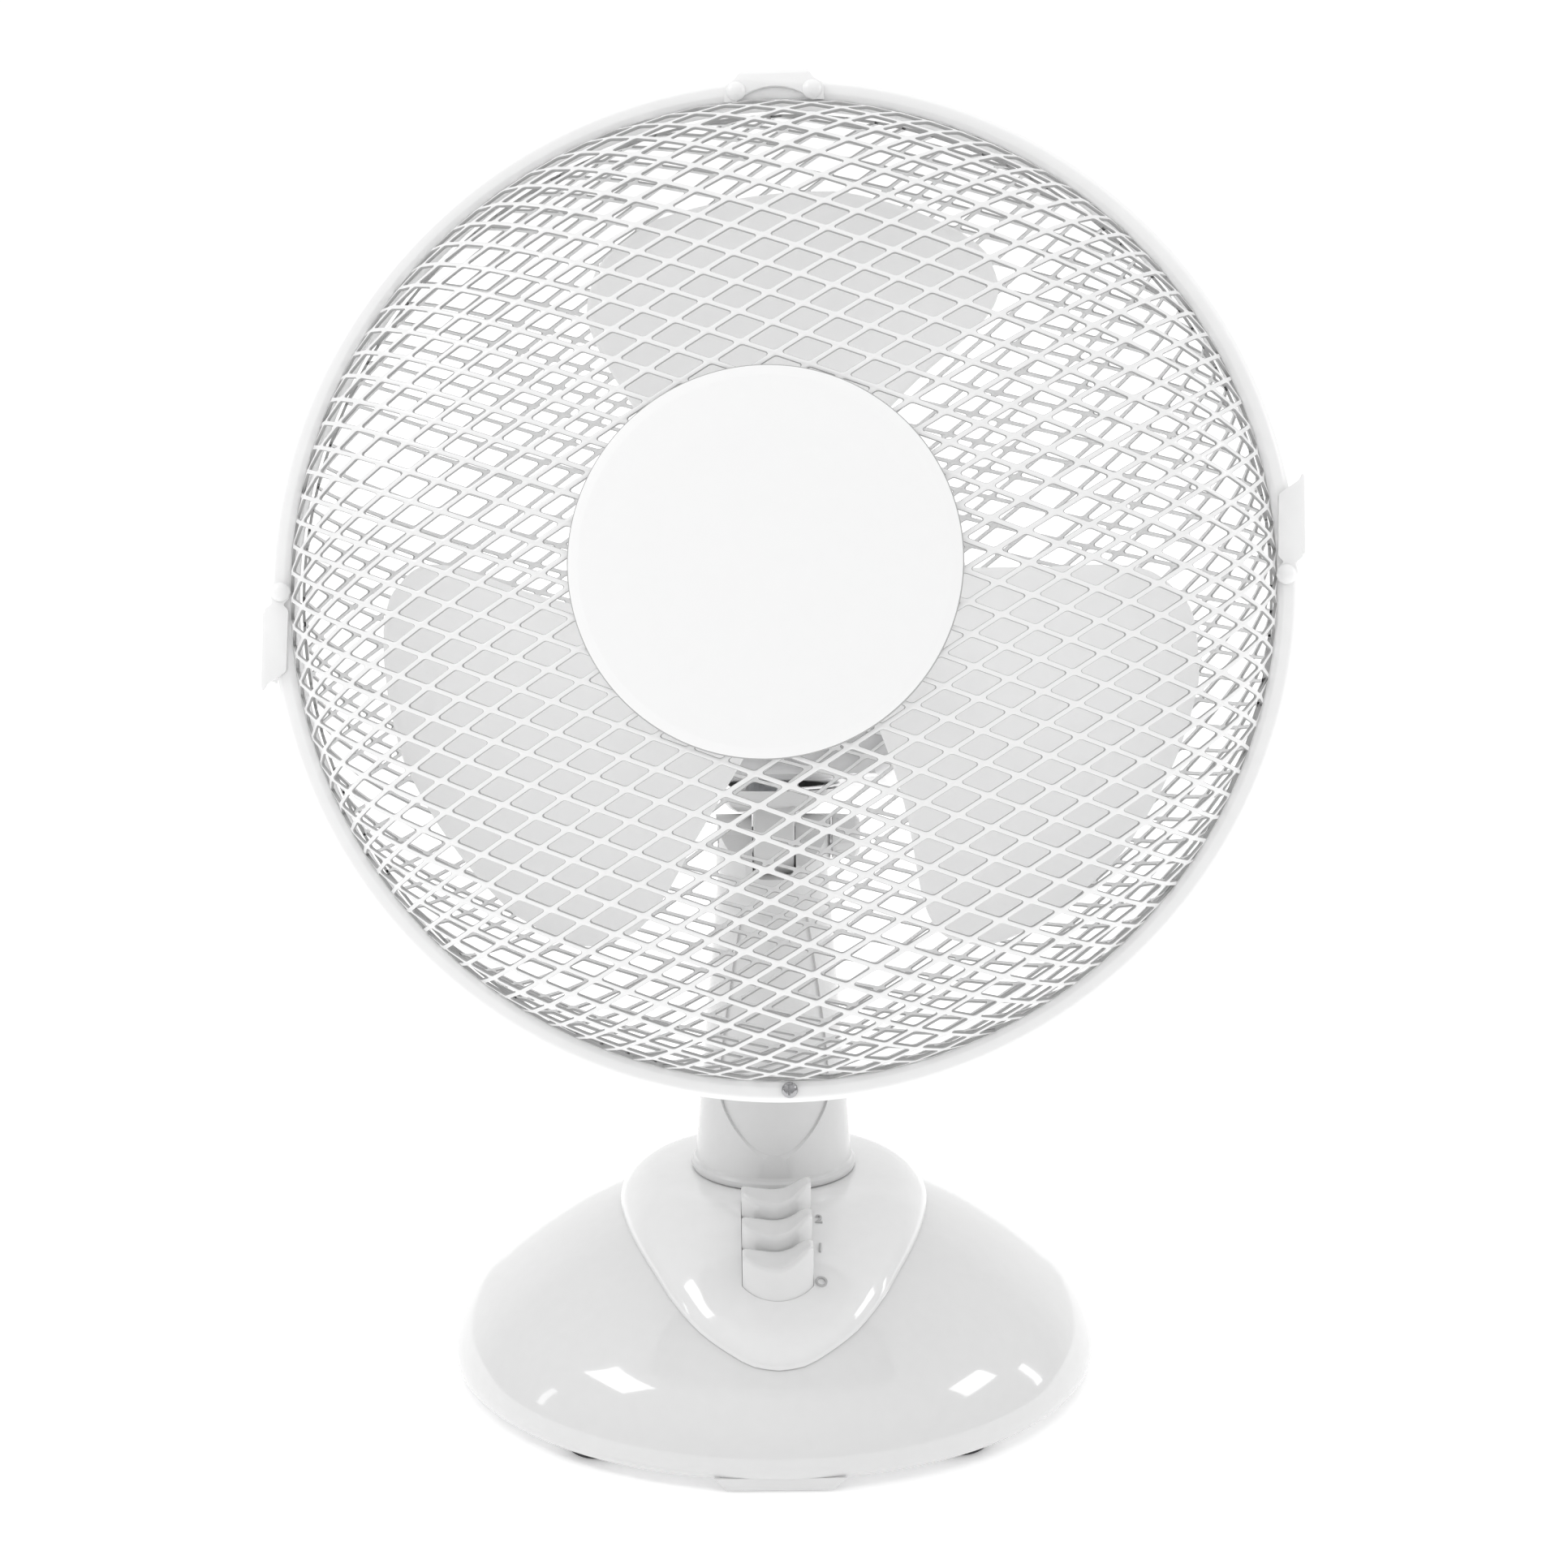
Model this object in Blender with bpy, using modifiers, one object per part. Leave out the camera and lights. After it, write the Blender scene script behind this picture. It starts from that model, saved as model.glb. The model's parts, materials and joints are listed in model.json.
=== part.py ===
"""A nine-inch desk fan with pressed-mesh guards, built as separate pieces in one assembly.

World frame: metres, +Z up, the front of the fan towards -Y, +X to the right of somebody facing it.
Every dimension below is in millimetres; pieces are scaled to metres when they are made.
The fan stands with its head turned and tilted up, as it is normally shown.
"""

import math

import bmesh
import bpy
from mathutils import Matrix, Vector

for old in list(bpy.data.objects):
    bpy.data.objects.remove(old)

MM = 0.001

# ---------------------------------------------------------------- driving dimensions (mm, degrees)
NECK_X = 0.0             # the neck's axis in the assembly frame
NECK_Y = 21.6
PIVOT_Z = 168.5          # height of the tilt bolt
TILT = 17.4              # head tilted up, at rest
SWING = 5.7              # head turned towards -X, at rest
AXIS_OFFSET = 10.5       # the motor shaft runs this far beside the swing axis
GUARD_FORWARD = 102.7    # guard joint ahead of the swing axis
AXIS_RISE = 61.9         # motor shaft above the tilt bolt

BASE_RADIUS = 100.8
BASE_OUTSIDE = [
    (100.8, 2.0), (100.8, 7.0), (99.8, 12.5), (96.7, 19.0), (91.5, 25.5), (83.5, 32.0),
    (61.0, 46.5), (46.0, 53.5), (30.0, 59.0), (19.7, 60.8),
]
BASE_WALL = 2.4
PANEL_TOP = 63.2         # flat shoulder under the neck
PANEL_BULGE = 6.3
PANEL_REACH = [          # degrees from the front, distance from the neck's axis
    (0, 85.3), (5, 84.4), (10, 81.4), (17.4, 76.3), (26, 69.3), (37, 61.1), (51.5, 54.2),
    (68.5, 49.6), (88, 47.8), (106, 47.6), (125, 47.0), (150, 45.0), (180, 44.0),
]

NECK_FOOT = 24.3         # neck radius just above its bead, at height 66.7
NECK_TOP = 17.2          # neck radius at height 153.2
EAR_REACH = 17.5
EAR_ROUND = 6.9
TONGUE_HALF = 6.2

BUTTON_HALF = 10.4
BUTTON_FRONT = -70.0
BUTTON_PITCH = 12.6
BUTTON_RISE = 5.05
BUTTON_TOP = 60.0
BUTTON_DEPTH = 10.6

RIM_OUT = 140.0
RIM_IN = 134.3
FRONT_DEPTH = 47.3       # crown of the front guard ahead of the joint
REAR_DEPTH = 62.0        # seat of the rear guard behind the joint
FRONT_POWER = 2.8        # how square-shouldered each guard is
REAR_POWER = 3.6
DISC_RADIUS = 51.4

BLADE_TIP = 117.6
BLADE_MIDDLE = 28.0      # blade mid-plane behind the guard joint
BLADE_SLOPE = 0.25       # millimetres of depth per degree around the hub
BLADE_EDGES = [          # radius, leading angle, trailing angle of the blade that points up
    (18.2, 73, 141), (48, 64, 132), (70, 58.5, 128), (90, 54.3, 126.4), (102, 54, 124.6),
    (109, 57, 121.4), (114, 63, 117.6), (117.6, 82, 108.5),
]

HOUSING_RADIUS = 52.0
HOUSING_FLAT = 46.0      # underside of the motor cover below the shaft
STATOR_RADIUS = 37.4
SHAFT_RADIUS = 4.0
WHEEL_AT = (18.2, 118.8)     # worm wheel and clutch spindle, beside and behind
CRANK_AT = (-1.0, 118.8)
CRANK_THROW = 7.0
CRANK_ANGLE = 170.0
STUD_THROW = 10.5            # link stud beside the swing axis

# ---------------------------------------------------------------- scene helpers
parts = bpy.data.collections.new("desk_fan")
cutters = bpy.data.collections.new("cutters")
bpy.context.scene.collection.children.link(parts)
bpy.context.scene.collection.children.link(cutters)


def surface(name, colour, roughness, metallic=0.0):
    made = bpy.data.materials.new(name)
    made.use_nodes = True
    shader = made.node_tree.nodes["Principled BSDF"]
    shader.inputs["Base Color"].default_value = (*colour, 1.0)
    shader.inputs["Roughness"].default_value = roughness
    shader.inputs["Metallic"].default_value = metallic
    return made


SURFACES = {
    "gloss_white": surface("gloss_white", (0.86, 0.86, 0.87), 0.18),
    "guard_white": surface("guard_white", (0.88, 0.88, 0.88), 0.38),
    "blade_grey": surface("blade_grey", (0.78, 0.79, 0.80), 0.35),
    "inner_plastic": surface("inner_plastic", (0.55, 0.56, 0.58), 0.55),
    "foot_rubber": surface("foot_rubber", (0.05, 0.05, 0.055), 0.80),
    "bright_steel": surface("bright_steel", (0.72, 0.72, 0.73), 0.28, 1.0),
    "chrome": surface("chrome", (0.82, 0.82, 0.84), 0.10, 1.0),
    "core_steel": surface("core_steel", (0.42, 0.42, 0.44), 0.50, 1.0),
    "cast_alloy": surface("cast_alloy", (0.64, 0.65, 0.67), 0.45, 1.0),
    "copper_wire": surface("copper_wire", (0.72, 0.34, 0.18), 0.35, 1.0),
    "brass": surface("brass", (0.78, 0.58, 0.26), 0.30, 1.0),
    "acetal": surface("acetal", (0.82, 0.80, 0.74), 0.42),
}


def frame(name, parent, place, turn=(0.0, 0.0, 0.0)):
    """An empty that carries pieces; place in mm in its parent, turn in degrees."""
    made = bpy.data.objects.new(name, None)
    parts.objects.link(made)
    made.parent = parent
    made.location = Vector(place) * MM
    made.rotation_euler = [math.radians(angle) for angle in turn]
    return made


neck_frame = frame("neck_frame", None, (NECK_X, NECK_Y, 0.0))
tilt_frame = frame("tilt_frame", neck_frame, (0.0, 0.0, PIVOT_Z), (-TILT, 0.0, 0.0))
swing_frame = frame("swing_frame", tilt_frame, (0.0, 0.0, 0.0), (0.0, 0.0, -SWING))
head_frame = frame("head_frame", swing_frame, (AXIS_OFFSET, -GUARD_FORWARD, AXIS_RISE))


def into_scene(name, bm, parent, place, collection):
    bmesh.ops.recalc_face_normals(bm, faces=bm.faces)
    bmesh.ops.scale(bm, vec=(MM, MM, MM), verts=bm.verts)
    mesh = bpy.data.meshes.new(name)
    bm.to_mesh(mesh)
    bm.free()
    made = bpy.data.objects.new(name, mesh)
    collection.objects.link(made)
    made.parent = parent
    made.location = Vector(place) * MM
    return made


def piece(name, bm, slot, parent, place=(0.0, 0.0, 0.0)):
    """A named sub-part; bm is drawn in mm about the piece's own origin."""
    made = into_scene(name, bm, parent, place, parts)
    made.data.shade_smooth()
    made.data.set_sharp_from_angle(angle=math.radians(38.0))
    made.data.materials.append(SURFACES[slot])
    return made


def tool(name, bm, parent, place=(0.0, 0.0, 0.0)):
    """A hidden body used to cut or to add to a piece."""
    made = into_scene(name, bm, parent, place, cutters)
    made.hide_render = True
    made.display_type = "WIRE"
    return made


def combine(target, other, operation="DIFFERENCE"):
    modifier = target.modifiers.new(other.name, "BOOLEAN")
    modifier.operation = operation
    modifier.solver = "EXACT"
    modifier.object = other


# ---------------------------------------------------------------- shape helpers
def polar(radius, degrees):
    return radius * math.cos(math.radians(degrees)), radius * math.sin(math.radians(degrees))


def eased(table, at, column=1):
    """Smooth interpolation through the rows of a table, by its first column."""
    if at <= table[0][0]:
        return table[0][column]
    if at >= table[-1][0]:
        return table[-1][column]
    index = next(k for k in range(len(table) - 1) if at <= table[k + 1][0])
    x0, x1 = table[index][0], table[index + 1][0]
    y0, y1 = table[index][column], table[index + 1][column]

    def slope(k):
        low, high = max(k - 1, 0), min(k + 1, len(table) - 1)
        return (table[high][column] - table[low][column]) / (table[high][0] - table[low][0])

    t = (at - x0) / (x1 - x0)
    m0, m1 = slope(index) * (x1 - x0), slope(index + 1) * (x1 - x0)
    return (
        (2 * t**3 - 3 * t**2 + 1) * y0 + (t**3 - 2 * t**2 + t) * m0
        + (3 * t**2 - 2 * t**3) * y1 + (t**3 - t**2) * m1
    )


def straight(table, at, column=1):
    """Straight-line interpolation through the rows of a table, by its first column."""
    rows = sorted(table)
    if at <= rows[0][0]:
        return rows[0][column]
    for low, high in zip(rows, rows[1:]):
        if at <= high[0]:
            share = (at - low[0]) / max(high[0] - low[0], 1e-9)
            return low[column] + share * (high[column] - low[column])
    return rows[-1][column]


def aim(bm, axis):
    """Turn a body drawn along +Z so that it runs along +X or +Y."""
    turns = {"X": Matrix.Rotation(math.pi / 2, 3, "Y"), "Y": Matrix.Rotation(-math.pi / 2, 3, "X")}
    if axis in turns:
        bmesh.ops.rotate(bm, cent=(0, 0, 0), matrix=turns[axis], verts=bm.verts)
    return bm


def revolve(profile, steps, axis="Z"):
    """A closed body turned from (radius, height) points by a Screw modifier.

    The profile either begins and ends at radius 0 or closes on itself as a ring.
    """
    count = len(profile)
    edges = [(k, k + 1) for k in range(count - 1)]
    if profile[0][0] > 0:
        edges.append((count - 1, 0))
    outline = bpy.data.meshes.new("outline")
    outline.from_pydata([(radius, 0.0, height) for radius, height in profile], edges, [])
    turned_body = bpy.data.objects.new("turned_body", outline)
    cutters.objects.link(turned_body)
    screw = turned_body.modifiers.new("screw", "SCREW")
    screw.angle = math.tau
    screw.steps = steps
    screw.render_steps = steps
    screw.use_merge_vertices = True
    screw.merge_threshold = 0.0001
    bm = bmesh.new()
    bm.from_object(turned_body, bpy.context.evaluated_depsgraph_get())
    bpy.data.objects.remove(turned_body)
    bpy.data.meshes.remove(outline)
    return aim(bm, axis)


def cylinder(radius, low, high, steps=24, axis="Z", centre=(0.0, 0.0)):
    bm = bmesh.new()
    bmesh.ops.create_cone(
        bm, cap_ends=True, cap_tris=True, segments=steps, radius1=radius, radius2=radius,
        depth=high - low)
    middle = (centre[0], centre[1], (low + high) / 2)
    bmesh.ops.translate(bm, vec=middle, verts=bm.verts)
    return aim(bm, axis)


def sleeve(inner, outer, low, high, steps=24, axis="Z"):
    return revolve([(inner, low), (outer, low), (outer, high), (inner, high)], steps, axis)


def block(x0, x1, y0, y1, z0, z1):
    bm = bmesh.new()
    bmesh.ops.create_cube(bm, size=1.0)
    bmesh.ops.scale(bm, vec=(x1 - x0, y1 - y0, z1 - z0), verts=bm.verts)
    middle = ((x0 + x1) / 2, (y0 + y1) / 2, (z0 + z1) / 2)
    bmesh.ops.translate(bm, vec=middle, verts=bm.verts)
    return bm


PLANES = {
    "XY": lambda a, b, c: (a, b, c),
    "XZ": lambda a, b, c: (a, c, b),
    "YZ": lambda a, b, c: (c, a, b),
}


def prism(outline, low, high, plane="XY"):
    """An outline in one plane, extruded across it from low to high."""
    bm = bmesh.new()
    place = PLANES[plane]
    base = bm.faces.new([bm.verts.new(place(a, b, low)) for a, b in outline])
    copied = bmesh.ops.extrude_face_region(bm, geom=[base])["geom"]
    moved = [item for item in copied if isinstance(item, bmesh.types.BMVert)]
    bmesh.ops.translate(bm, vec=place(0, 0, high - low), verts=moved)
    return bm


def merge(*bodies):
    """Several separate closed bodies as one mesh, for use as a tool."""
    bm = bmesh.new()
    for body in bodies:
        mesh = bpy.data.meshes.new("scrap")
        body.to_mesh(mesh)
        body.free()
        bm.from_mesh(mesh)
        bpy.data.meshes.remove(mesh)
    return bm


def shifted(bm, offset):
    bmesh.ops.translate(bm, vec=offset, verts=bm.verts)
    return bm


def gear_outline(teeth, root, tip):
    points = []
    for k in range(teeth):
        step = 360.0 / teeth
        for share, radius in ((0.0, root), (0.35, tip), (0.65, tip)):
            points.append(polar(radius, step * (k + share)))
    return points


# ---------------------------------------------------------------- base
def dome(radius):
    """Height of the base's outside at a distance from the neck's axis."""
    return straight(BASE_OUTSIDE, radius)


BASE_INSIDE = [
    (19.7, 58.3), (29.2, 56.3), (59.6, 43.9), (81.6, 29.6), (94.2, 17.4), (98.4, 6.0), (98.4, 2.0),
]
shell_profile = BASE_OUTSIDE + BASE_INSIDE
base_shell = piece("base_shell", revolve(shell_profile, 40), "gloss_white", neck_frame)
tab = prism([(-18.5, 3.6), (-15.2, 0.6), (15.2, 0.6), (18.5, 3.6)], -100.3, -98.9, "XZ")
combine(base_shell, tool("front_tab", tab, neck_frame), "UNION")
post_spots = [polar(78.0, 45.0 + 90.0 * k) for k in range(4)]
posts = merge(*[shifted(cylinder(3.4, 5.4, 32.8, 8), (x, y, 0)) for x, y in post_spots])
combine(base_shell, tool("screw_posts", posts, neck_frame), "UNION")
bores = merge(*[shifted(cylinder(2.0, 4.0, 19.0, 8), (x, y, 0)) for x, y in post_spots])
combine(base_shell, tool("post_bores", bores, neck_frame))
gland_hole = shifted(cylinder(5.3, 88.0, 110.0, 20, "Y"), (0, 0, 10.5))
combine(base_shell, tool("gland_hole", gland_hole, neck_frame))

PANEL_SLOT = (-11.0, 11.0, -72.2, -33.2, 30.0, 90.0)
button_slot = tool("button_slot", block(*PANEL_SLOT), neck_frame)
combine(base_shell, button_slot)


def panel_body():
    """A thin raised shield lying on the dome, from the neck's hole to its pointed outline."""
    around = [0, 5, 11, 18, 27, 38, 51, 66, 82, 99, 118, 138, 159]
    angles = around + [180] + [360 - angle for angle in reversed(around[1:])]
    across = [0.0, 0.3, 0.52, 0.7, 0.84, 0.93, 0.98, 1.0]
    bm = bmesh.new()
    upper, lower = [], []
    for angle in angles:
        reach = eased(PANEL_REACH, min(angle, 360 - angle))
        top_row, low_row = [], []
        for share in across:
            radius = 19.7 + share * (reach - 19.7)
            x, y = polar(radius, angle - 90.0)
            under = dome(radius)
            top = min(PANEL_TOP, under + 1.5 + PANEL_BULGE * math.sqrt(1 - share**5))
            low = max(under + (1.6 if share < 0.95 else 0.7), top - 2.4)
            top_row.append(bm.verts.new((x, y, top)))
            low_row.append(bm.verts.new((x, y, low)))
        upper.append(top_row)
        lower.append(low_row)
    count = len(angles)
    for k in range(count):
        n = (k + 1) % count
        for j in range(len(across) - 1):
            bm.faces.new((upper[k][j], upper[k][j + 1], upper[n][j + 1], upper[n][j]))
            bm.faces.new((lower[k][j], lower[n][j], lower[n][j + 1], lower[k][j + 1]))
        bm.faces.new((upper[k][0], upper[n][0], lower[n][0], lower[k][0]))
        bm.faces.new((upper[k][-1], lower[k][-1], lower[n][-1], upper[n][-1]))
    return bm


control_panel = piece("control_panel", panel_body(), "gloss_white", neck_frame)
combine(control_panel, button_slot)

foot_spots = [polar(87.5, angle) for angle in (232.5, 307.5, 52.5, 127.5)]
plate_bm = cylinder(97.4, 2.6, 5.0, 40)
base_plate = piece("base_plate", plate_bm, "gloss_white", neck_frame)
plate_holes = [shifted(cylinder(2.1, 1.0, 7.0, 8), (x, y, 0)) for x, y in post_spots]
plate_holes += [shifted(cylinder(3.4, 1.0, 7.0, 8), (x, y, 0)) for x, y in foot_spots]
combine(base_plate, tool("plate_holes", merge(*plate_holes), neck_frame))

FOOT = [(0, 0), (7.4, 0), (8.5, 0.9), (8.5, 2.3), (3.1, 2.3), (3.1, 6.0), (0, 6.0)]
BASE_SCREW = [(0, 0.8), (2.2, 0.9), (3.3, 1.5), (3.4, 2.3), (1.7, 2.3), (1.7, 16.0), (0, 17.0)]
for number, (x, y) in enumerate(foot_spots, 1):
    piece(f"foot_{number}", revolve(FOOT, 12), "foot_rubber", neck_frame, (x, y, 0))
for number, (x, y) in enumerate(post_spots, 1):
    screw = revolve(BASE_SCREW, 8)
    piece(f"base_screw_{number}", screw, "bright_steel", neck_frame, (x, y, 0))

gland_profile = [(2.7, 90.0), (4.9, 90.0), (4.9, 101.4), (6.6, 101.4), (6.2, 103.4), (2.7, 103.4)]
gland = revolve(gland_profile, 16, "Y")
piece("cord_gland", gland, "inner_plastic", neck_frame, (0, 0, 10.5))

# ---------------------------------------------------------------- buttons and switch
BUTTON_SADDLE = [
    (-1.0, -0.9), (-0.86, 0.0), (-0.45, -2.3), (0.0, -3.3), (0.35, -1.7), (0.72, 1.6),
    (0.9, 1.7), (1.0, 0.3),
]


def button_body(top):
    """A key with a saddle-shaped finger seat and a bowed front, drawn about its front edge."""
    across = [-1.0, -0.9, -0.65, -0.35, 0.0, 0.3, 0.55, 0.78, 0.92, 1.0]
    along = [(0.0, -2.6), (0.08, -1.0), (0.25, 0.0), (0.6, 0.1), (1.0, 0.0)]
    bm = bmesh.new()
    top_rows, low_rows = [], []
    for u in across:
        bow = -1.4 * (1 - u * u)
        crest = top + eased(BUTTON_SADDLE, u)
        top_row, low_row = [], []
        for v, drop in along:
            y = bow * (1 - v) + v * BUTTON_DEPTH
            top_row.append(bm.verts.new((u * BUTTON_HALF, y, crest + drop)))
            low_row.append(bm.verts.new((u * BUTTON_HALF, y, 40.0)))
        top_rows.append(top_row)
        low_rows.append(low_row)
    for i in range(len(across) - 1):
        for j in range(len(along) - 1):
            a, b = top_rows[i], top_rows[i + 1]
            bm.faces.new((a[j], b[j], b[j + 1], a[j + 1]))
            c, d = low_rows[i], low_rows[i + 1]
            bm.faces.new((c[j], c[j + 1], d[j + 1], d[j]))
    for i in range(len(across) - 1):
        for j in (0, -1):
            quad = (top_rows[i][j], top_rows[i + 1][j], low_rows[i + 1][j], low_rows[i][j])
            bm.faces.new(quad)
    for rows in ((top_rows[0], low_rows[0]), (top_rows[-1], low_rows[-1])):
        for j in range(len(along) - 1):
            bm.faces.new((rows[0][j], rows[0][j + 1], rows[1][j + 1], rows[1][j]))
    return bm


stem_middles = []
for number in range(3):
    front = BUTTON_FRONT + BUTTON_PITCH * number
    body = button_body(BUTTON_TOP + BUTTON_RISE * number)
    button = piece(f"button_{number}", body, "gloss_white", neck_frame, (0, front, 0))
    shank = block(-2.6, 2.6, 2.8, 7.8, 28.0, 41.0)
    combine(button, tool(f"button_stem_{number}", shank, neck_frame, (0, front, 0)), "UNION")
    stem_middles.append(front + 5.3)

switch = piece("switch_body", block(-14, 14, -71, -33, 5.3, 35), "inner_plastic", neck_frame)
pockets = merge(*[block(-3.1, 3.1, y - 3.0, y + 3.0, 22.0, 37.0) for y in stem_middles])
combine(switch, tool("switch_pockets", pockets, neck_frame))


# ---------------------------------------------------------------- neck
def neck_radius(height):
    return NECK_FOOT + (height - 66.7) * (NECK_TOP - NECK_FOOT) / (153.2 - 66.7)


neck_profile = [
    (0, 162.0), (neck_radius(162.0), 162.0), (NECK_TOP, 153.2), (neck_radius(110), 110.0),
    (NECK_FOOT, 66.7), (24.6, 66.0), (25.5, 65.3), (25.6, 64.3), (25.3, 63.5), (19.3, 63.5),
    (19.3, 50.0), (16.8, 50.0), (16.8, 68.0), (14.0, 146.0), (0, 146.0),
]
neck = piece("neck_column", revolve(neck_profile, 32), "gloss_white", neck_frame)

ear_side = [polar(EAR_ROUND, angle) for angle in range(20, 161, 20)]
ear_side += [(-15.3, -5.5), (-15.3, -9.0), (15.3, -9.0), (15.3, -5.5)]
ears = tool("neck_ears", prism(ear_side, -20, 20, "YZ"), neck_frame, (0, 0, PIVOT_Z))
ear_round = cylinder(EAR_REACH, -12.0, 10.0, 36)
combine(ears, tool("ear_round", ear_round, neck_frame, (0, 0, PIVOT_Z)), "INTERSECT")
combine(neck, ears, "UNION")
slot = block(-6.55, 6.55, -30, 30, -14.0, 12.0)
combine(neck, tool("tongue_slot", slot, neck_frame, (0, 0, PIVOT_Z)))
bolt_hole = [(0, -25.0), (5.8, -25.0), (5.8, -13.6), (3.35, -13.6), (3.35, 25.0), (0, 25.0)]
bolt_bore = tool("bolt_bore", revolve(bolt_hole, 20, "X"), neck_frame, (0, 0, PIVOT_Z))
combine(neck, bolt_bore)

INSET_HALF = [(73.7, 0), (75, 4.6), (78, 8.7), (83, 12.9), (89.5, 16.2), (105, 15.6), (130, 12.4), (148, 9.6)]
inset_side = [(half, height) for height, half in INSET_HALF]
inset_outline = inset_side + [(-half, height) for half, height in reversed(inset_side[1:])]
inset = tool("neck_inset", prism(inset_outline, -40, -1.3, "XZ"), neck_frame)
core = [(0, 60), (neck_radius(60) - 1.5, 60), (neck_radius(156) - 1.5, 156), (0, 156)]
combine(inset, tool("inset_floor", revolve(core, 36), neck_frame))
combine(neck, inset)

# ---------------------------------------------------------------- tilt bracket and its bolt
cup = [
    (0, 7.4), (11.0, 7.4), (13.0, 8.4), (15.0, 10.2), (18.2, 12.6), (20.3, 14.0), (20.5, 15.4),
    (18.9, 15.4), (16.6, 13.2), (14.0, 11.0), (13.0, 10.4), (0, 10.4),
]
tilt_bracket = piece("tilt_bracket", revolve(cup, 24), "gloss_white", tilt_frame)
tongue_side = [polar(13.0, angle) for angle in range(190, 351, 20)]
tongue_side += [(12.4, 2.0), (11.6, 8.6), (-11.6, 8.6), (-12.4, 2.0)]
tongue = tool("tongue", prism(tongue_side, -TONGUE_HALF, TONGUE_HALF, "YZ"), tilt_frame)
combine(tilt_bracket, tongue, "UNION")
brow = prism([(4.0, 15.7), (-26.0, 11.1), (-26.0, 22.0), (4.0, 22.0)], -25, 25, "YZ")
combine(tilt_bracket, tool("cup_brow", brow, tilt_frame))
stud_spot = (-STUD_THROW * math.sqrt(0.5), STUD_THROW * math.sqrt(0.5))
bracket_bores = merge(
    cylinder(3.35, -25, 25, 20, "X"),
    cylinder(4.3, 5.0, 20.0, 20),
    cylinder(2.1, 8.4, 20.0, 12, centre=stud_spot),
)
combine(tilt_bracket, tool("bracket_bores", bracket_bores, tilt_frame))

bolt_profile = [(0, -17.0), (5.2, -17.0), (5.2, -14.0), (3.0, -14.0), (3.0, 23.0), (0, 23.6)]
tilt_bolt = piece(
    "tilt_bolt", revolve(bolt_profile, 18, "X"), "bright_steel", neck_frame, (0, 0, PIVOT_Z))
knob_profile = [
    (0, 24.0), (3.3, 24.0), (3.3, 17.8), (6.7, 17.8), (6.9, 19.0), (6.4, 25.0), (5.4, 26.2),
    (0, 26.4),
]
piece("tilt_knob", revolve(knob_profile, 20, "X"), "gloss_white", neck_frame, (0, 0, PIVOT_Z))

# ---------------------------------------------------------------- swing pivot and link
pin_profile = [(0, 5.3), (4.0, 5.3), (4.0, 24.4), (3.6, 24.8), (0, 24.8)]
piece("swing_pin", revolve(pin_profile, 20), "bright_steel", tilt_frame)
piece("pin_retainer", sleeve(4.2, 6.6, 23.2, 24.0, 20), "bright_steel", tilt_frame)
stud_profile = [(0, 8.7), (1.8, 8.7), (1.8, 26.4), (1.5, 26.7), (0, 26.7)]
piece("link_stud", revolve(stud_profile, 12), "bright_steel", tilt_frame, (*stud_spot, 0))

# ---------------------------------------------------------------- guards
def guard_depth(radius, depth, power):
    return depth * math.sqrt(max(0.0, 1.0 - min(radius / RIM_IN, 1.0) ** power))


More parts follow.
